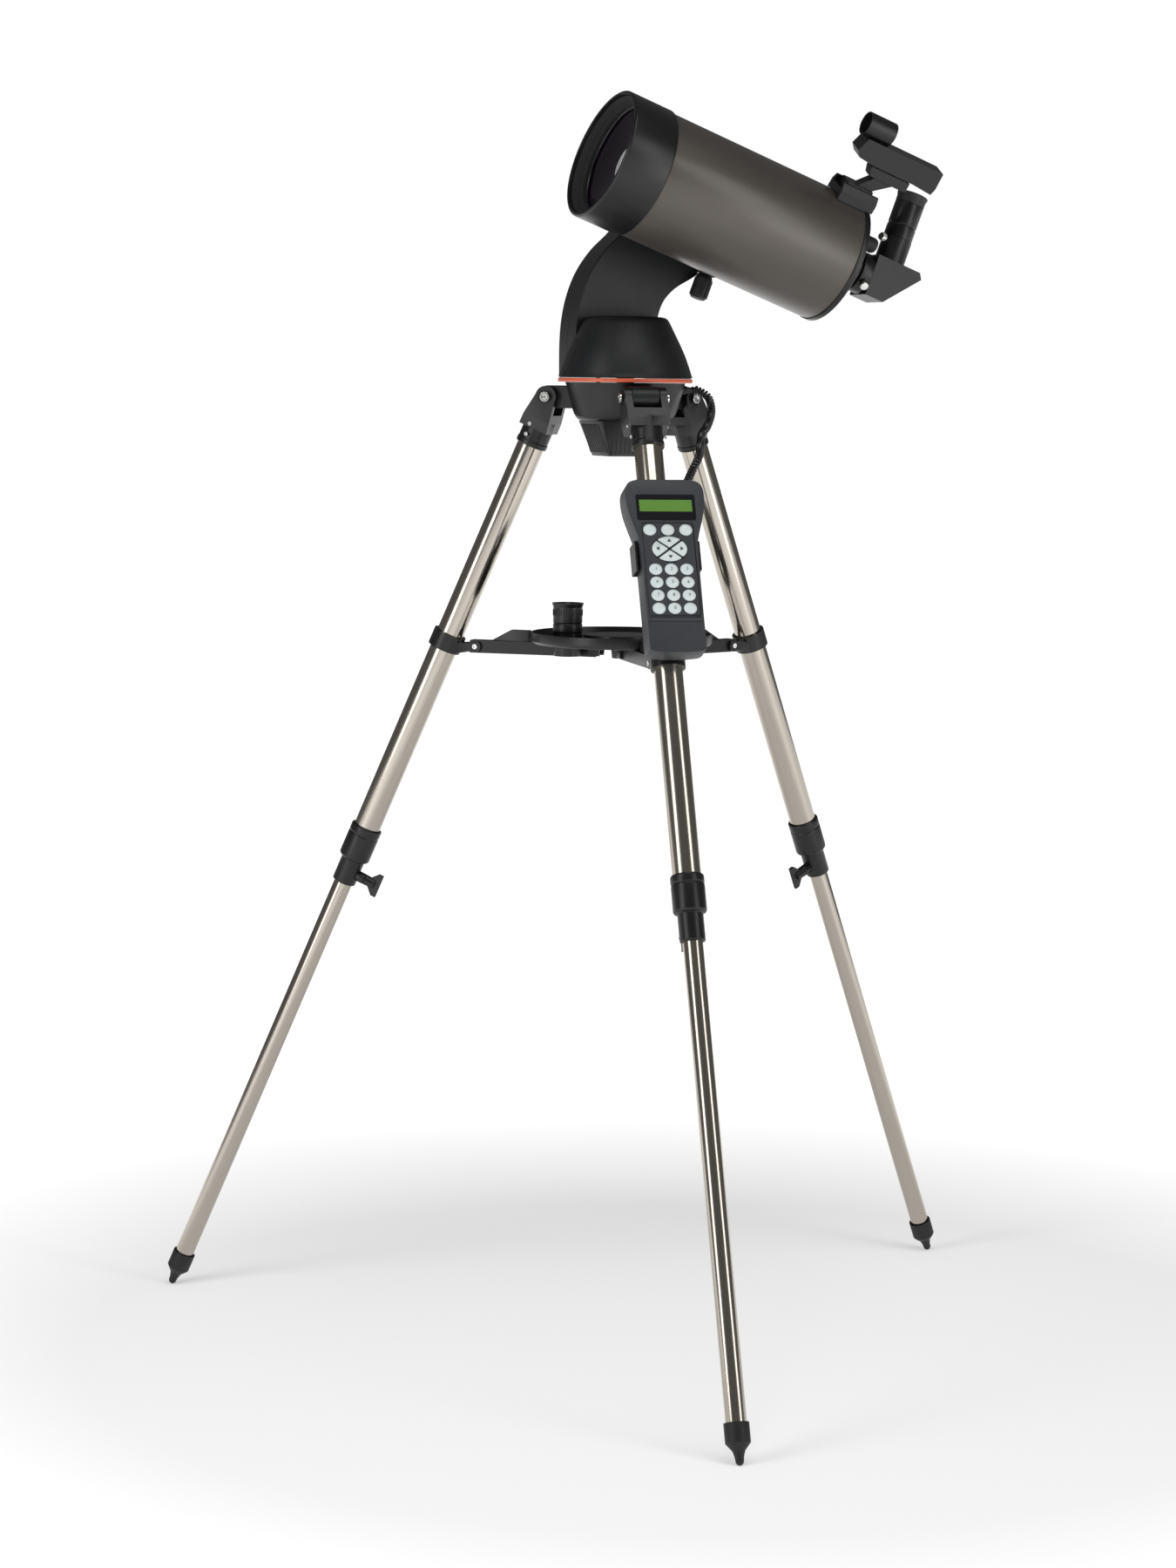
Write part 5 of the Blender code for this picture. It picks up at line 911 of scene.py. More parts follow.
# %% Eyepiece in the diagonal
eye_axis = -BACK - 66 * MM
eye_place = tube @ along((1, 0, 0), (0, 0, eye_axis))
seat = 53.3 * MM
eye_profile = [
    (0.0, seat + 39 * MM), (10 * MM, seat + 39 * MM), (10 * MM, seat + 47 * MM), (13.5 * MM, seat + 47 * MM),
    (13.5 * MM, seat + 42 * MM), (17 * MM, seat + 42 * MM), (17 * MM, seat + 17 * MM),
    (16.3 * MM, seat + 16.4 * MM),
    (16.3 * MM, seat + 15 * MM), (17 * MM, seat + 14.4 * MM), (17 * MM, seat), (15.85 * MM, seat),
    (15.85 * MM, seat - 24 * MM), (13.6 * MM, seat - 24 * MM), (13.6 * MM, seat - 6 * MM),
    (0.0, seat - 6 * MM),
]
settle(
    lathe("eyepiece_barrel", eye_profile, eye_place, "black_metal", 96, 0.5 * MM), "eyepiece", "black_metal",
    "eyepiece_body",
)
cup_low = seat + 42.3 * MM
cup_profile = [
    (13.8 * MM, cup_low), (17 * MM, cup_low), (17 * MM, cup_low + 6 * MM), (18.3 * MM, cup_low + 11.2 * MM),
    (18.3 * MM, cup_low + 12 * MM), (16.6 * MM, cup_low + 12 * MM), (13.9 * MM, cup_low + 8.2 * MM),
]
settle(
    lathe("eyepiece_rubber_cup", cup_profile, eye_place, "rubber", 96, 0.4 * MM), "eyepiece", "rubber",
    "eyepiece_cup",
)
eye_lens = [
    (0.0, seat + 46 * MM), (5 * MM, seat + 45.3 * MM), (9.6 * MM, seat + 43 * MM), (9.6 * MM, seat + 41 * MM),
    (0.0, seat + 41 * MM),
]
settle(lathe("eye_lens", eye_lens, eye_place, "window", 64, 0.3 * MM), "eyepiece", "black_metal")

# %% Spare eyepiece on the tray
spare_low, spare_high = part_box("spare_eyepiece")
spare_centre = (Vector(spare_low) + Vector(spare_high)) / 2
spare_seat = spare_low[2] + 17 * MM
spare_place = Matrix.Translation((spare_centre.x, spare_centre.y, spare_seat))
spare_profile = mm(
    (0, 38.5), (11, 38.5), (14.5, 44.5), (18.5, 44.5), (18.3, 43.4), (17, 39.5), (17, 22), (16.3, 21.4),
    (16.3, 20.2), (17, 19.6), (17, 11), (16.2, 10), (16.2, 0), (15.85, 0), (15.85, -17), (13.6, -17),
    (13.6, -6), (0, -6),
)
settle(
    lathe("spare_eyepiece_body", spare_profile, spare_place, "black_metal", 96, 0.5 * MM), "spare_eyepiece",
    "black_metal", "spare_eyepiece",
)
spare_grip = spare_place @ Matrix.Translation((0, 0, 33.5 * MM))
spare_ribs = rib_ring("spare_eyepiece_ribs", 36, 17 * MM, (0.8 * MM, 1.1 * MM, 7 * MM), spare_grip, "rubber")
settle(spare_ribs, "spare_eyepiece", "rubber")
print("eyepieces: one in the diagonal, one on the tray")

# %% [markdown]
# ## Diagonal, finder and clamp
#
# These are moulded or machined blocks whose shape the frame already has. What they lack is the
# small radius that every mould and every cutter leaves, so each gets its edges broken and its own
# grain. The bevel width is about the radius of the real tool: a millimetre on plastic, less on
# metal.

# %% Blocks with broken edges
EDGES = {  # width of the broken edge, in mm
    "diagonal_body": 1.2, "finder_shoe": 0.9, "finder_mount": 0.9, "finder_body": 1.3, "dovetail_bar": 0.6,
    "tube_clamp": 0.9, "battery_box": 1.2, "tray_hub": 0.5, "handset_holder": 0.8, "altitude_wheel": 0.4,
}
for name in LEG_NAMES:
    EDGES |= {f"spreader_collar_{name}": 0.5, f"spreader_arm_{name}": 0.6, f"wing_screw_{name}": 0.7}
for node, width in EDGES.items():
    broken_edges(node, width * MM)
print("edges broken on", len(EDGES), "pieces")

# %% [markdown]
# ## The mount
#
# The dome is one smooth moulding whose wall leans in towards a flat top. The fixed bowl below it
# mirrors it in small, and a thin orange ring lies between them. All three are turned, then the dome
# is cut open for the arm and grooved round its oval cover.

# %% Dome, ring and bowl
dome_low, dome_top = 2.5 * MM, 72.5 * MM
dome_outer = [
    (0.0, dome_top), (36 * MM, dome_top), (41.5 * MM, dome_top - 0.4 * MM), (45.5 * MM, dome_top - 1.4 * MM),
    (48.2 * MM, dome_top - 3.6 * MM), (50.4 * MM, dome_top - 7.4 * MM),
]
dome_outer += mm(
    (53.6, 58.8), (56.2, 53.5), (58.8, 48.4), (62.2, 41.6), (65.4, 34.8), (68.6, 27.6), (71.4, 20),
)
dome_outer += [
    (73.4 * MM, 14.4 * MM), (74.8 * MM, 10 * MM), (76.2 * MM, 5.6 * MM), (77 * MM, 3.9 * MM),
    (75.5 * MM, 3.5 * MM), (75.5 * MM, dome_low),
]
dome_inner = [
    (72.5 * MM, dome_low), (68 * MM, 21 * MM), (62 * MM, 35.5 * MM), (55.5 * MM, 49 * MM),
    (45 * MM, dome_top - 5 * MM), (38 * MM, dome_top - 3 * MM), (0.0, dome_top - 3 * MM),
]
dome = lathe("dome_cover", dome_outer + dome_inner, mount, "charcoal_plastic", 144, 0)
arm_gap = rectangle(-56.3 * MM, 50.3 * MM, -MM, 2 * dome_top)
carved(dome, extrusion("arm gap", arm_gap, 17.7 * MM, 160 * MM, "xz", mount, "rubber"))
COVER_AZIMUTH = math.pi  # the dome's oval cover faces the front of the mount
cover_place = mount @ Matrix.Rotation(COVER_AZIMUTH, 4, "Z")


def dome_oval(label, half_width, half_height):
    """An oval plug that points out through the dome's wall."""
    outline = oval(0, 26 * MM, half_width, half_height)
    return extrusion(label, outline, 40 * MM, 90 * MM, "yz", cover_place, "rubber")


carved(
    dome, carved(dome_oval("cover groove", 9 * MM, 19 * MM), dome_oval("cover middle", 8.1 * MM, 18.1 * MM)),
)
settle(dome, "fork", "charcoal_plastic", "base_dome")
ring_shape = mm((68, 2.2), (76.4, 2.2), (77, 1.4), (77, -1.4), (76.4, -2.2), (68, -2.2))
settle(
    lathe("orange_ring", ring_shape, mount, "orange_trim", 144, 0.3 * MM), "base", "orange_trim", "trim_ring",
)
bowl_outer = mm(
    (69, -2.5), (67.6, -6), (66, -12), (64.6, -17.5), (63, -23), (61.6, -28.6), (60, -34), (58.4, -38.4),
    (56.5, -41.5), (54.2, -44.4), (51, -46), (0, -46),
)
bowl_inner = mm((0, 10), (10, 10), (10, -43), (49, -43), (53, -40), (57, -33), (60, -22), (66, -2.5))
bowl = lathe("bowl", bowl_inner + bowl_outer, mount, "charcoal_plastic", 144, 0)
settle(bowl, "base", "charcoal_plastic", "base_housing")
for name in LEG_NAMES:
    turn = mount @ Matrix.Rotation(AZIMUTHS[name], 4, "Z") @ Matrix.Translation((0, 0, -19.7 * MM))
    lug_shape = [(57 * MM, -13 * MM)] + arc(88 * MM, 0, 13 * MM, -90, 90, 16) + [(57 * MM, 13 * MM)]
    lug = extrusion(f"leg_lug_{name}", lug_shape, -16 * MM, 16 * MM, "xz", turn, "charcoal_plastic", 1.4 * MM)
    settle(lug, "base", "charcoal_plastic")
socket_place = mount @ along(cord_side, (0, 0, -10 * MM))
socket_profile = mm((0, 70), (4.6, 70), (5.5, 69), (5.5, 63.5), (0, 63.5))
settle(lathe("cord_socket", socket_profile, socket_place, "black_plastic", 48), "base", "black_plastic")

print("dome, ring and bowl turned")

# %% [markdown]
# ## Slats on the battery box
#
# The battery box under the bowl carries a row of upright slats on each leaning side. They are all
# alike, so a tree sets one block at each point of a line, and each side only turns and tilts the row.

# %% Rows of slats
slats, slats_in, slats_out = new_tree(
    "row of slats", ("Count", "Int", 10), ("Step", "Vector", (0.006, 0, 0)),
    ("Size", "Vector", (0.002, 0.001, 0.03)), ("Material", "Material", None),
)
row = step(slats, "MeshLine", [("Count", slats_in.outputs["Count"]), ("Offset", slats_in.outputs["Step"])])
slat = step(slats, "MeshCube", [("Size", slats_in.outputs["Size"])])
stood = step(slats, "InstanceOnPoints", [("Points", row.outputs[0]), ("Instance", slat.outputs[0])])
finish_tree(slats, slats_out, stood.outputs[0], slats_in.outputs["Material"])
SLAT_COUNT = 11
BOX_TOP = (45 * MM, 33 * MM)  # half lengths across and along the box
BOX_FOOT = (30 * MM, 26 * MM)
box_low, box_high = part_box("battery_box")
box_depth = box_high.z - box_low.z
box_middle = (box_low.z + box_high.z) / 2 - mount.translation.z
SIDES = (("front", 0, 0, 1), ("side", -90, 1, 0), ("back", 180, 0, 1), ("far_side", 90, 1, 0))
for label, turned_by, wide, deep in SIDES:
    run = BOX_FOOT[wide] - 3 * MM
    reach = (BOX_TOP[deep] + BOX_FOOT[deep]) / 2
    lean = math.atan2(BOX_TOP[deep] - BOX_FOOT[deep], box_depth)
    values = {
        "Count": SLAT_COUNT, "Step": (2 * run / (SLAT_COUNT - 1), 0, 0),
        "Material": looks["charcoal_plastic"],
    }
    values["Size"] = (2.2 * MM, 1.2 * MM, 0.86 * box_depth)
    face = mount @ Matrix.Rotation(math.radians(turned_by), 4, "Z")
    face = face @ Matrix.Translation((0, -reach, box_middle))
    face = face @ Matrix.Rotation(lean, 4, "X") @ Matrix.Translation((-run, 0, 0))
    made = grown(f"battery_slats_{label}", slats, bpy.data.meshes.new("slats"), values, face)
    settle(edged(made, 0.3 * MM, 2), "base", "charcoal_plastic")
print("slats:", SLAT_COUNT * len(SIDES))

# %% [markdown]
# ## The fork arm
#
# The arm is two half shells. Its outline is a slow double curve, so the few points that fix it are
# joined by a smooth line. Only the outside edge of each half is rounded, by a bevel that reads a
# weight on the edges, because the two halves meet flat.

# %% Fork arm
ALTITUDE = (90 * MM, 190.8 * MM)  # altitude axis behind and above the ring's middle


def flowing(points, count):
    """A smooth open line through outline points."""
    return [(p.x, p.y) for p in smooth_line([Vector(point) for point in points], count)]


head = arc(*ALTITUDE, 64 * MM, -72, 158, 48)
neck = [head[-1]] + mm((8, 176), (-18, 150), (-35, 127), (-46, 103), (-53, 76), (-56, 45), (-56, 3.4))
throat = mm((50, 3.4), (47, 40), (47.5, 68), (53, 87), (61.5, 99), (73, 108.5), (90, 118)) + [head[0]]
arm_outline = head[:-1] + flowing(neck, 42) + flowing(throat, 42)[:-1]


def arm_shell(label, near, far, edge, node):
    """Half of the arm; the edge's sign says which face is the outside."""
    shell = extrusion(label, arm_outline, near, far, "xz", mount, "charcoal_plastic")
    weights = shell.data.attributes.new("bevel_weight_edge", "FLOAT", "EDGE")
    outside = mount.translation.y + (far if edge > 0 else near)
    for link in shell.data.edges:
        ends_y = [shell.data.vertices[i].co.y for i in link.vertices]
        weights.data[link.index].value = float(max(abs(y - outside) for y in ends_y) < 0.02 * MM)
    bevel = shell.modifiers.new("soft edge", "BEVEL")
    bevel.width = abs(edge)
    bevel.segments = 5
    bevel.limit_method = "WEIGHT"
    bevel.harden_normals = True
    baked(shell)
    return settle(shell, "fork", "charcoal_plastic", node)


arm_shell("arm_inner_half", 18 * MM, 39.8 * MM, -1.6 * MM, "arm_inner_shell")
arm_shell("arm_outer_half", 40.3 * MM, 68 * MM, 7 * MM, "arm_outer_shell")
print("arm outline:", len(arm_outline), "points")

# %% [markdown]
# ## Legs
#
# Polished stainless tube is all reflection: what you see is the room, drawn out into long streaks.
# So the tubes stay perfectly round and smooth, with only faint drawing lines along them. The clamp
# sleeves and feet are mouldings turned about the same axis.

# %% Yokes at the tops of the legs
def yoke(name, leg):
    """Two flat ears on a round sleeve, with a slot for the mount's lug."""
    side = arc(0, 0, 12.4 * MM, -8, 188, 28) + [(-16.5 * MM, -26 * MM), (-17.6 * MM, -40 * MM)]
    side += [(17.6 * MM, -40 * MM), (16.5 * MM, -26 * MM)]
    body = extrusion(f"leg_yoke_{name}_body", side, -24.4 * MM, 24.4 * MM, "xz", leg, "black_plastic")
    sleeve = mm(
        (0, -22), (15, -22), (17.8, -30), (17.8, -54.5), (18.5, -55.5), (18.5, -60), (18, -61), (0, -61),
    )
    carved(body, lathe("yoke sleeve", sleeve, leg, "black_plastic", 64, 0.4 * MM), operation="UNION")
    flanks = []
    for sign in (-1, 1):
        flank = [
            (sign * 15 * MM, -70 * MM), (sign * 25.5 * MM, -24 * MM), (sign * 40 * MM, -24 * MM),
            (sign * 40 * MM, -70 * MM),
        ]
        flanks.append(extrusion("yoke flank", flank, -40 * MM, 40 * MM, "yz", leg, "rubber"))
    carved(body, *flanks)
    carved(body, lathe("yoke sleeve", sleeve, leg, "black_plastic", 64, 0.4 * MM), operation="UNION")
    slot = extrusion(
        "yoke slot", rectangle(-40 * MM, 40 * MM, -17.5 * MM, 30 * MM), -16.3 * MM, 16.3 * MM, "xz", leg,
        "rubber",
    )
    bore = lathe("yoke bore", rod(16.2 * MM, -80 * MM, -30.7 * MM), leg, "rubber", 72, 0)
    carved(body, slot, bore)
    for sign in (-1, 1):
        recess = mm((8.6, 26), (8.6, 23.4), (7.4, 23.4), (7.4, 26))
        carved(body, lathe("bolt recess", recess, leg @ along((0, sign, 0)), "rubber", 48, 0))
    edged(body, 1.0 * MM, 3)
    return settle(body, f"leg_{name}", "black_plastic", f"leg_yoke_{name}")


for name in LEG_NAMES:
    yoke(name, legs[name])

# %% Tubes, clamps and feet
for name in LEG_NAMES:
    leg = legs[name]
    upper = lathe(
        f"upper_tube_{name}_steel", pipe(15.9 * MM, 14.6 * MM, -590 * MM, -31 * MM), leg, "brushed_steel", 72,
        0.2 * MM,
    )
    settle(upper, f"leg_{name}", "brushed_steel", f"upper_tube_{name}")
    lower = lathe(
        f"lower_tube_{name}_steel", pipe(11.1 * MM, 9.9 * MM, -1159 * MM, -524 * MM), leg, "brushed_steel",
        64, 0.2 * MM,
    )
    settle(lower, f"lower_leg_{name}", "brushed_steel", f"lower_tube_{name}")
    sleeve = mm(
        (16.2, -557), (17.2, -557), (18.6, -558.4), (18.6, -566), (18, -566.8), (18, -568), (18.6, -568.8),
        (18.6, -597), (17.4, -599), (14.2, -600.5), (14.2, -630), (13.4, -631), (11.4, -631), (11.4, -590.3),
        (16.2, -590.3),
    )
    clamp = lathe(f"leg_clamp_{name}_sleeve", sleeve, leg, "black_plastic", 72, 0.6 * MM)
    settle(clamp, f"leg_{name}", "black_plastic", f"leg_clamp_{name}")
    inward = leg @ along((-1, 0, 0), (0, 0, -617 * MM))
    boss = mm((3.3, 13), (6.4, 13), (6.4, 23), (5.4, 24), (3.3, 24))
    settle(lathe(f"clamp_boss_{name}", boss, inward, "black_plastic", 48), f"leg_{name}", "black_plastic")
    foot_low = -1187 * MM
    foot_profile = mm(
        (0, -1159.5), (11.4, -1159.5), (11.4, -1143), (13.5, -1143), (13.5, -1164), (8.5, -1170),
        (6.8, -1172), (5, -1178),
    )
    foot_profile += arc(0, -1182.5 * MM, 4.5 * MM, 0, -80, 6) + [(0.0, foot_low)]
    settle(
        lathe(f"foot_{name}_rubber", foot_profile, leg, "rubber", 64, 0.4 * MM), f"lower_leg_{name}",
        "rubber", f"foot_{name}",
    )
print("legs dressed:", len(LEG_NAMES))

# %% [markdown]
# ## The tray
#
# The tray is a shallow turned dish with a raised middle. The places of its three holes are worked
# out from the spare eyepiece that stands in one of them, so they can't drift from it.

# %% Tray and its holes
tray_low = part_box("eyepiece_tray")[0]
tray_place = Matrix.Translation((mount.translation.x, mount.translation.y, tray_low[2]))
tray_profile = mm(
    (0, 10.8), (43.5, 10.8), (43.5, 2.5), (102.5, 2.5), (102.5, 13), (105, 13), (105, 3), (102, 0), (41, 0),
    (41, 8.3), (0, 8.3),
)
tray = lathe("tray_dish", tray_profile, tray_place, "black_plastic", 144, 0.7 * MM)
spare_angle = math.atan2(spare_centre.y - mount.translation.y, spare_centre.x - mount.translation.x)
HOLES = 3
drills = []
for i in range(HOLES):
    angle = spare_angle + i * 2 * math.pi / HOLES
    spot_place = tray_place @ Matrix.Translation((63 * MM * math.cos(angle), 63 * MM * math.sin(angle), 0))
    drills.append(lathe(f"drill {i}", rod(16.1 * MM, -5 * MM, 9 * MM), spot_place, "rubber", 64, 0))
settle(carved(tray, *drills), "eyepiece_tray", "black_plastic", "eyepiece_tray")
print("holes in the tray:", HOLES)

# %% [markdown]
# ## The handset
#
# The handset is a slim moulded case, wide round its display and narrow where the hand holds it. Its
# keys are round rubber caps on one mat. The display sits behind a dark window. The keys are placed
# by a Geometry Nodes tree on a list of points, because they are all the same cap.

# %% Case, window and display
leg = legs["handset"]
FACE = HANDSET_BACK + HANDSET_DEPTH


def case_outline():
    """Outline of the case, from a few points down one side, mirrored to the other."""
    half = [
        (30, 1.2), (39.5, 4.5), (43.8, 12), (44.5, 23), (43, 36), (39.5, 50), (33.8, 70), (32.3, 84),
        (31.8, 150),
    ]
    half += [(31.8, 194), (30.4, 199), (25.8, 200.6), (12, 202)]
    side = flowing([(u * MM, -HANDSET_TOP - v * MM) for u, v in half], 72)
    return side + [(-u, v) for u, v in reversed(side)]


def panel_piece(name, outline, low, high, look, edge=0.3 * MM):
    """A flat piece parallel to the handset's face."""
    return extrusion(name, outline, low, high, "yz", leg, look, edge, 2)


def box_on_face(half, top, bottom, radius):
    """Rounded rectangle on the face, from one distance below the handset's top to another."""
    return rounded_outline(rectangle(-half, half, -HANDSET_TOP - bottom, -HANDSET_TOP - top), radius)


case = extrusion(
    "handset_shell", case_outline(), HANDSET_BACK, FACE, "yz", leg, "handset_plastic", 4.5 * MM, 5,
)
sunk = panel_piece(
    "key field", box_on_face(29.3 * MM, 51.4 * MM, 160 * MM, 4 * MM), FACE - 3 * MM, FACE + 9 * MM, "rubber",
    0,
)
glass_seat = panel_piece(
    "window seat", box_on_face(33.5 * MM, 18.6 * MM, 49.2 * MM, 3 * MM), FACE - 1.2 * MM, FACE + 9 * MM,
    "rubber", 0,
)
seam = panel_piece(
    "seam", rectangle(-60 * MM, 60 * MM, -HANDSET_TOP - 166.9 * MM, -HANDSET_TOP - 166.2 * MM),
    FACE - 0.6 * MM, FACE + 9 * MM, "rubber", 0,
)
carved(case, sunk, glass_seat, seam)
settle(case, "leg_handset", "charcoal_plastic", "handset_case")
window = panel_piece(
    "display_window", box_on_face(33.2 * MM, 18.9 * MM, 48.9 * MM, 2.8 * MM), FACE - 1.15 * MM,
    FACE - 0.25 * MM, "window", 0.2 * MM,
)
settle(window, "leg_handset", "rubber")
glow = panel_piece(
    "display_panel", box_on_face(29.8 * MM, 25 * MM, 38.6 * MM, 0.6 * MM), FACE - 0.3 * MM, FACE - 0.1 * MM,
    "display", 0,
)
settle(glow, "leg_handset", "key_plastic")
plug_block = extrusion(
    "handset_plug_block", rectangle(12 * MM, 24.5 * MM, -HANDSET_TOP - 42 * MM, -HANDSET_TOP - 30 * MM),
    22 * MM, 34 * MM, "xz", leg, "rubber", 0.8 * MM,
)
settle(plug_block, "leg_handset", "rubber")

# %% Keys on their mat
key_tree, keys_in, keys_out = new_tree(
    "caps on points", ("Half width", "Float", 0.007), ("Half height", "Float", 0.006),
    ("Rise", "Float", 0.002),
    ("Material", "Material", None),
)
ball = step(key_tree, "MeshUVSphere", Segments=28, Rings=14, Radius=1.0)
sizes = step(
    key_tree, "ShaderNodeCombineXYZ",
    [
        ("X", keys_in.outputs["Rise"]), ("Y", keys_in.outputs["Half width"]),
        ("Z", keys_in.outputs["Half height"]),
    ],
)
caps = step(
    key_tree, "InstanceOnPoints",
    [("Points", keys_in.outputs["Geometry"]), ("Instance", ball.outputs[0]), ("Scale", sizes.outputs[0])],
)
finish_tree(key_tree, keys_out, caps.outputs[0], keys_in.outputs["Material"])
KEY_FACE = FACE + 1.4 * MM
menu_keys = [(20.4 * k, 60.0) for k in (-1, 0, 1)]
number_keys = [(17.6 * k, 106.0 + 15.1 * row) for row in range(4) for k in (-1, 0, 1)]
key_points = bpy.data.meshes.new("key points")
key_points.from_pydata(
    [(KEY_FACE - 2.2 * MM, u * MM, -HANDSET_TOP - v * MM) for u, v in menu_keys + number_keys], [], [],
)
key_values = {
    "Half width": 7.4 * MM, "Half height": 6.6 * MM, "Rise": 2.2 * MM, "Material": looks["key_plastic"],
}
caps_piece = grown("key_caps", key_tree, key_points, key_values, leg)
settle(caps_piece, "keypad", "key_plastic", "keypad")
mat_outline = box_on_face(28.6 * MM, 52 * MM, 159.4 * MM, 3.6 * MM)
PAD_DOWN = 82.5 * MM  # handset's top to the middle of the four-way pad
pad_hole = oval(0, -HANDSET_TOP - PAD_DOWN, 20.3 * MM, 14.9 * MM)
mat = panel_piece("key_mat", mat_outline, FACE - 1.8 * MM, FACE - 0.8 * MM, "handset_plastic", 0)
carved(mat, panel_piece("pad hole", pad_hole, FACE - 9 * MM, FACE + 9 * MM, "rubber", 0))
settle(mat, "keypad", "key_plastic")

# %% Figures on the keys
def figure(text, across, down, size):
    """A printed figure as a thin mesh on a key's face."""
    curve = bpy.data.curves.new("figure", "FONT")
    curve.body = text
    curve.size = size
    curve.align_x = "CENTER"
    curve.align_y = "CENTER"
    curve.extrude = 0.05 * MM
    curve.resolution_u = 3
    maker = bpy.data.objects.new("figure", curve)
    scene.collection.objects.link(maker)
    bpy.context.view_layer.update()
    mesh = bpy.data.meshes.new_from_object(maker.evaluated_get(bpy.context.evaluated_depsgraph_get()))
    bpy.data.objects.remove(maker)
    lay = Matrix(
        ((0, 0, 1, KEY_FACE + 0.04 * MM), (1, 0, 0, across), (0, 1, 0, -HANDSET_TOP - down), (0, 0, 0, 1))
    )
    mesh.transform(leg @ lay)
    return mesh


def merged(name, meshes, look):
    """One piece from several meshes."""
    bm = bmesh.new()
    for mesh in meshes:
        bm.from_mesh(mesh)
    return piece_from(name, bm, look)


labels = [figure(str(digit), u * MM, v * MM, 5.2 * MM) for digit, (u, v) in zip("123456789", number_keys)]
labels += [figure("0", number_keys[10][0] * MM, number_keys[10][1] * MM, 5.2 * MM)]
settle(merged("key_figures", labels, "ink"), "keypad", "key_plastic")


# %% Four-way pad
def sector(start, end, half_u, half_v, shift):
    """A quarter of an oval, moved out from the middle so that the quarters stand apart."""
    middle = math.radians((start + end) / 2)
    u, v = shift * math.cos(middle), shift * math.sin(middle)
    turns = [math.radians(start + (end - start) * i / 12) for i in range(13)]
    points = [(u, v)] + [(u + half_u * math.cos(a), v + half_v * math.sin(a)) for a in turns]
    return [(p[0], p[1] - HANDSET_TOP - PAD_DOWN) for p in points]


pad_parts, arrow_parts = [], []
for i in range(4):
    start, end = 90 * i - 45, 90 * i + 45
    quarter = sector(start, end, 18.2 * MM, 12.8 * MM, 1.5 * MM)
    pad_parts.append(panel_piece(f"quarter {i}", quarter, FACE - 1.7 * MM, KEY_FACE, "key_plastic", 0.9 * MM))
    middle = math.radians(90 * i)
    ahead, aside = Vector((math.cos(middle), math.sin(middle))), Vector((-math.sin(middle), math.cos(middle)))
    across, down = 13.2 * MM * math.cos(middle), 9.2 * MM * math.sin(middle)
    centre = Vector((across, down - HANDSET_TOP - PAD_DOWN))
    tips = [centre + ahead * 2.4 * MM]
    tips += [centre - ahead * 1.4 * MM + aside * sign * 2.5 * MM for sign in (1, -1)]
    outline = [tuple(tip) for tip in tips]
    arrow_parts.append(
        panel_piece(f"arrow {i}", outline, KEY_FACE - 0.1 * MM, KEY_FACE + 0.08 * MM, "ink", 0)
    )


def joined(name, parts, look):
    """Several scratch pieces as one."""
    made = merged(name, [part.data for part in parts], look)
    for part in parts:
        bpy.data.objects.remove(part)
    return made


settle(joined("pad_quarters", pad_parts, "key_plastic"), "arrow_pad", "key_plastic", "arrow_pad")
settle(joined("pad_arrows", arrow_parts, "ink"), "arrow_pad", "key_plastic")
print("handset dressed")

# %% [markdown]
# ## Screws and rivets
#
# Small bright heads tell the eye how the thing is held together. A tree places one head on each
# point and turns it along the normal stored there; the head is a disc with a hexagonal socket cut
# into it, made inside the tree.

# %% Screw-head tree
heads, heads_in, heads_out = new_tree(
    "socket heads on points", ("Radius", "Float", 0.003), ("Height", "Float", 0.002),
    ("Socket", "Float", 0.0016),
    ("Material", "Material", None),
)
disc = step(
    heads, "MeshCylinder", [("Radius", heads_in.outputs["Radius"]), ("Depth", heads_in.outputs["Height"])],
    Vertices=28,
)
hexagon = step(
    heads, "MeshCylinder", [("Radius", heads_in.outputs["Socket"]), ("Depth", heads_in.outputs["Height"])],
    Vertices=6,
)
lifted = step(heads, "Transform", [("Geometry", hexagon.outputs[0])])
raise_by = step(
    heads, "ShaderNodeCombineXYZ", [("Z", maths(heads, "MULTIPLY", heads_in.outputs["Height"], 0.6))],
)
heads.links.new(raise_by.outputs[0], lifted.inputs["Translation"])
drilled = step(
    heads, "MeshBoolean", [("Mesh 1", disc.outputs[0]), ("Mesh 2", lifted.outputs[0])],
    operation="DIFFERENCE",
)
stored = step(heads, "InputNamedAttribute", data_type="FLOAT_VECTOR")
stored.inputs["Name"].default_value = "facing"
aimed = step(heads, "FunctionNodeAlignRotationToVector", [("Vector", stored.outputs["Attribute"])], axis="Z")
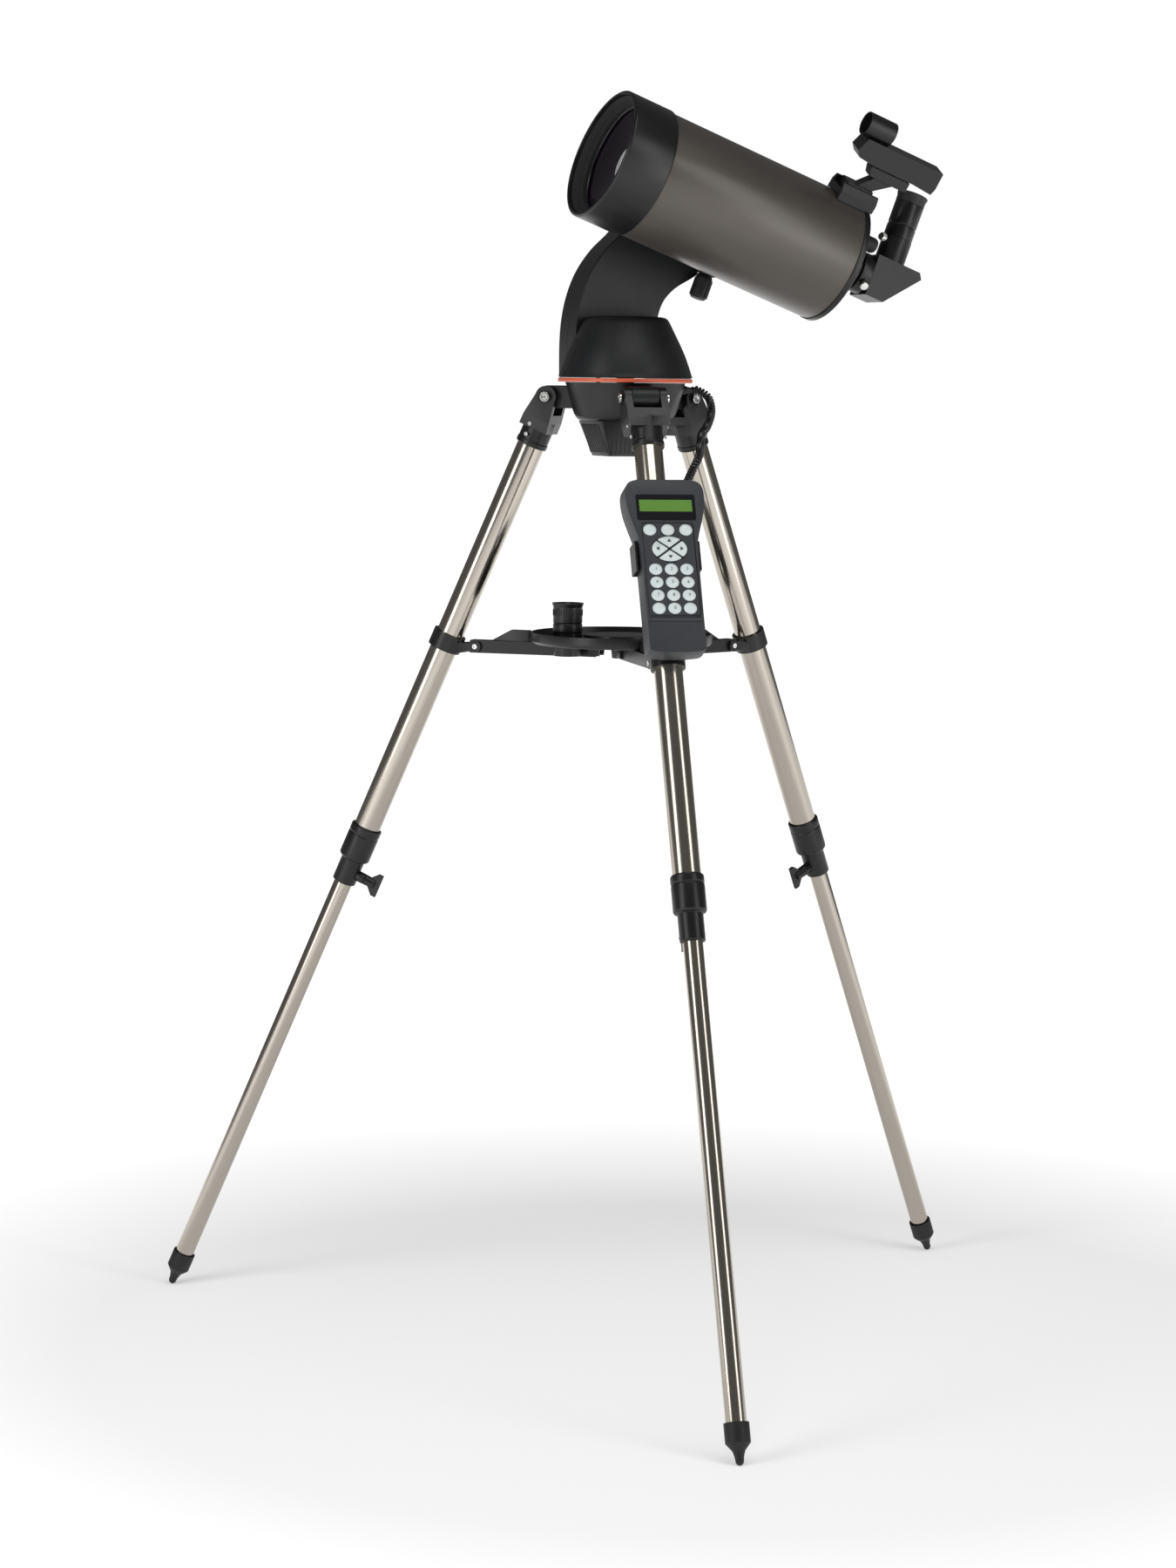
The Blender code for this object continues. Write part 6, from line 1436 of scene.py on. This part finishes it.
heads_set = step(
    heads, "InstanceOnPoints",
    [
        ("Points", heads_in.outputs["Geometry"]), ("Instance", drilled.outputs[0]),
        ("Rotation", aimed.outputs[0]),
    ],
)
finish_tree(heads, heads_out, heads_set.outputs[0], heads_in.outputs["Material"])


def screw_heads(name, body, spots, radius, height, look, slot):
    """Heads at (point, direction) pairs of one body."""
    mesh = bpy.data.meshes.new(name)
    mesh.from_pydata([tuple(point) for point, _ in spots], [], [])
    facing = mesh.attributes.new("facing", "FLOAT_VECTOR", "POINT")
    for item, (_, way) in zip(facing.data, spots):
        item.vector = tuple(way)
    values = {"Radius": radius, "Height": height, "Socket": 0.5 * radius, "Material": looks[look]}
    made = grown(name, heads, mesh, values)
    edged(made, 0.12 * radius, 2)
    return settle(made, body, slot)


def in_frame(place, point, way):
    """A point and a direction taken from a piece's own frame to the world."""
    return place @ Vector(point), (place.to_3x3() @ Vector(way)).normalized()


for name in LEG_NAMES:
    leg = legs[name]
    bolts = [in_frame(leg, (0, sign * 27.6 * MM, 0), (0, sign, 0)) for sign in (-1, 1)]
    screw_heads(f"pivot_bolts_{name}", f"leg_{name}", bolts, 5.6 * MM, 2.4 * MM, "chrome", "chrome")
    grub = [
        in_frame(leg, (5 * MM, sign * y * MM, z * MM), (0, sign, 0))
        for y, z in ((23.2, -36), (20.2, -49)) for sign in (-1, 1)
    ]
    screw_heads(f"yoke_screws_{name}", f"leg_{name}", grub, 2.3 * MM, 1.6 * MM, "chrome", "chrome")
    link = Vector(joints[f"spreader_arm_hinge_{name}"]["pos_m"])
    side = axis_of(f"leg_fold_{name}")
    rivets = [(link + side * sign * 11.9 * MM, side * sign) for sign in (-1, 1)]
    screw_heads(f"link_rivets_{name}", f"leg_{name}", rivets, 3.0 * MM, 1.6 * MM, "chrome", "chrome")
print("screws set on three legs")

# %% [markdown]
# ## Whatever is left
#
# Frame solids that nobody replaced are still in the picture, so each gets the finish that its slot
# names.

# %% Dress the remaining solids
dressed = 0
for node, solid in frame["nodes"].items():
    solid.data.materials.clear()
    solid.data.materials.append(looks[slot_of[node]])
    dressed += 1
print("frame solids given a finish:", dressed)
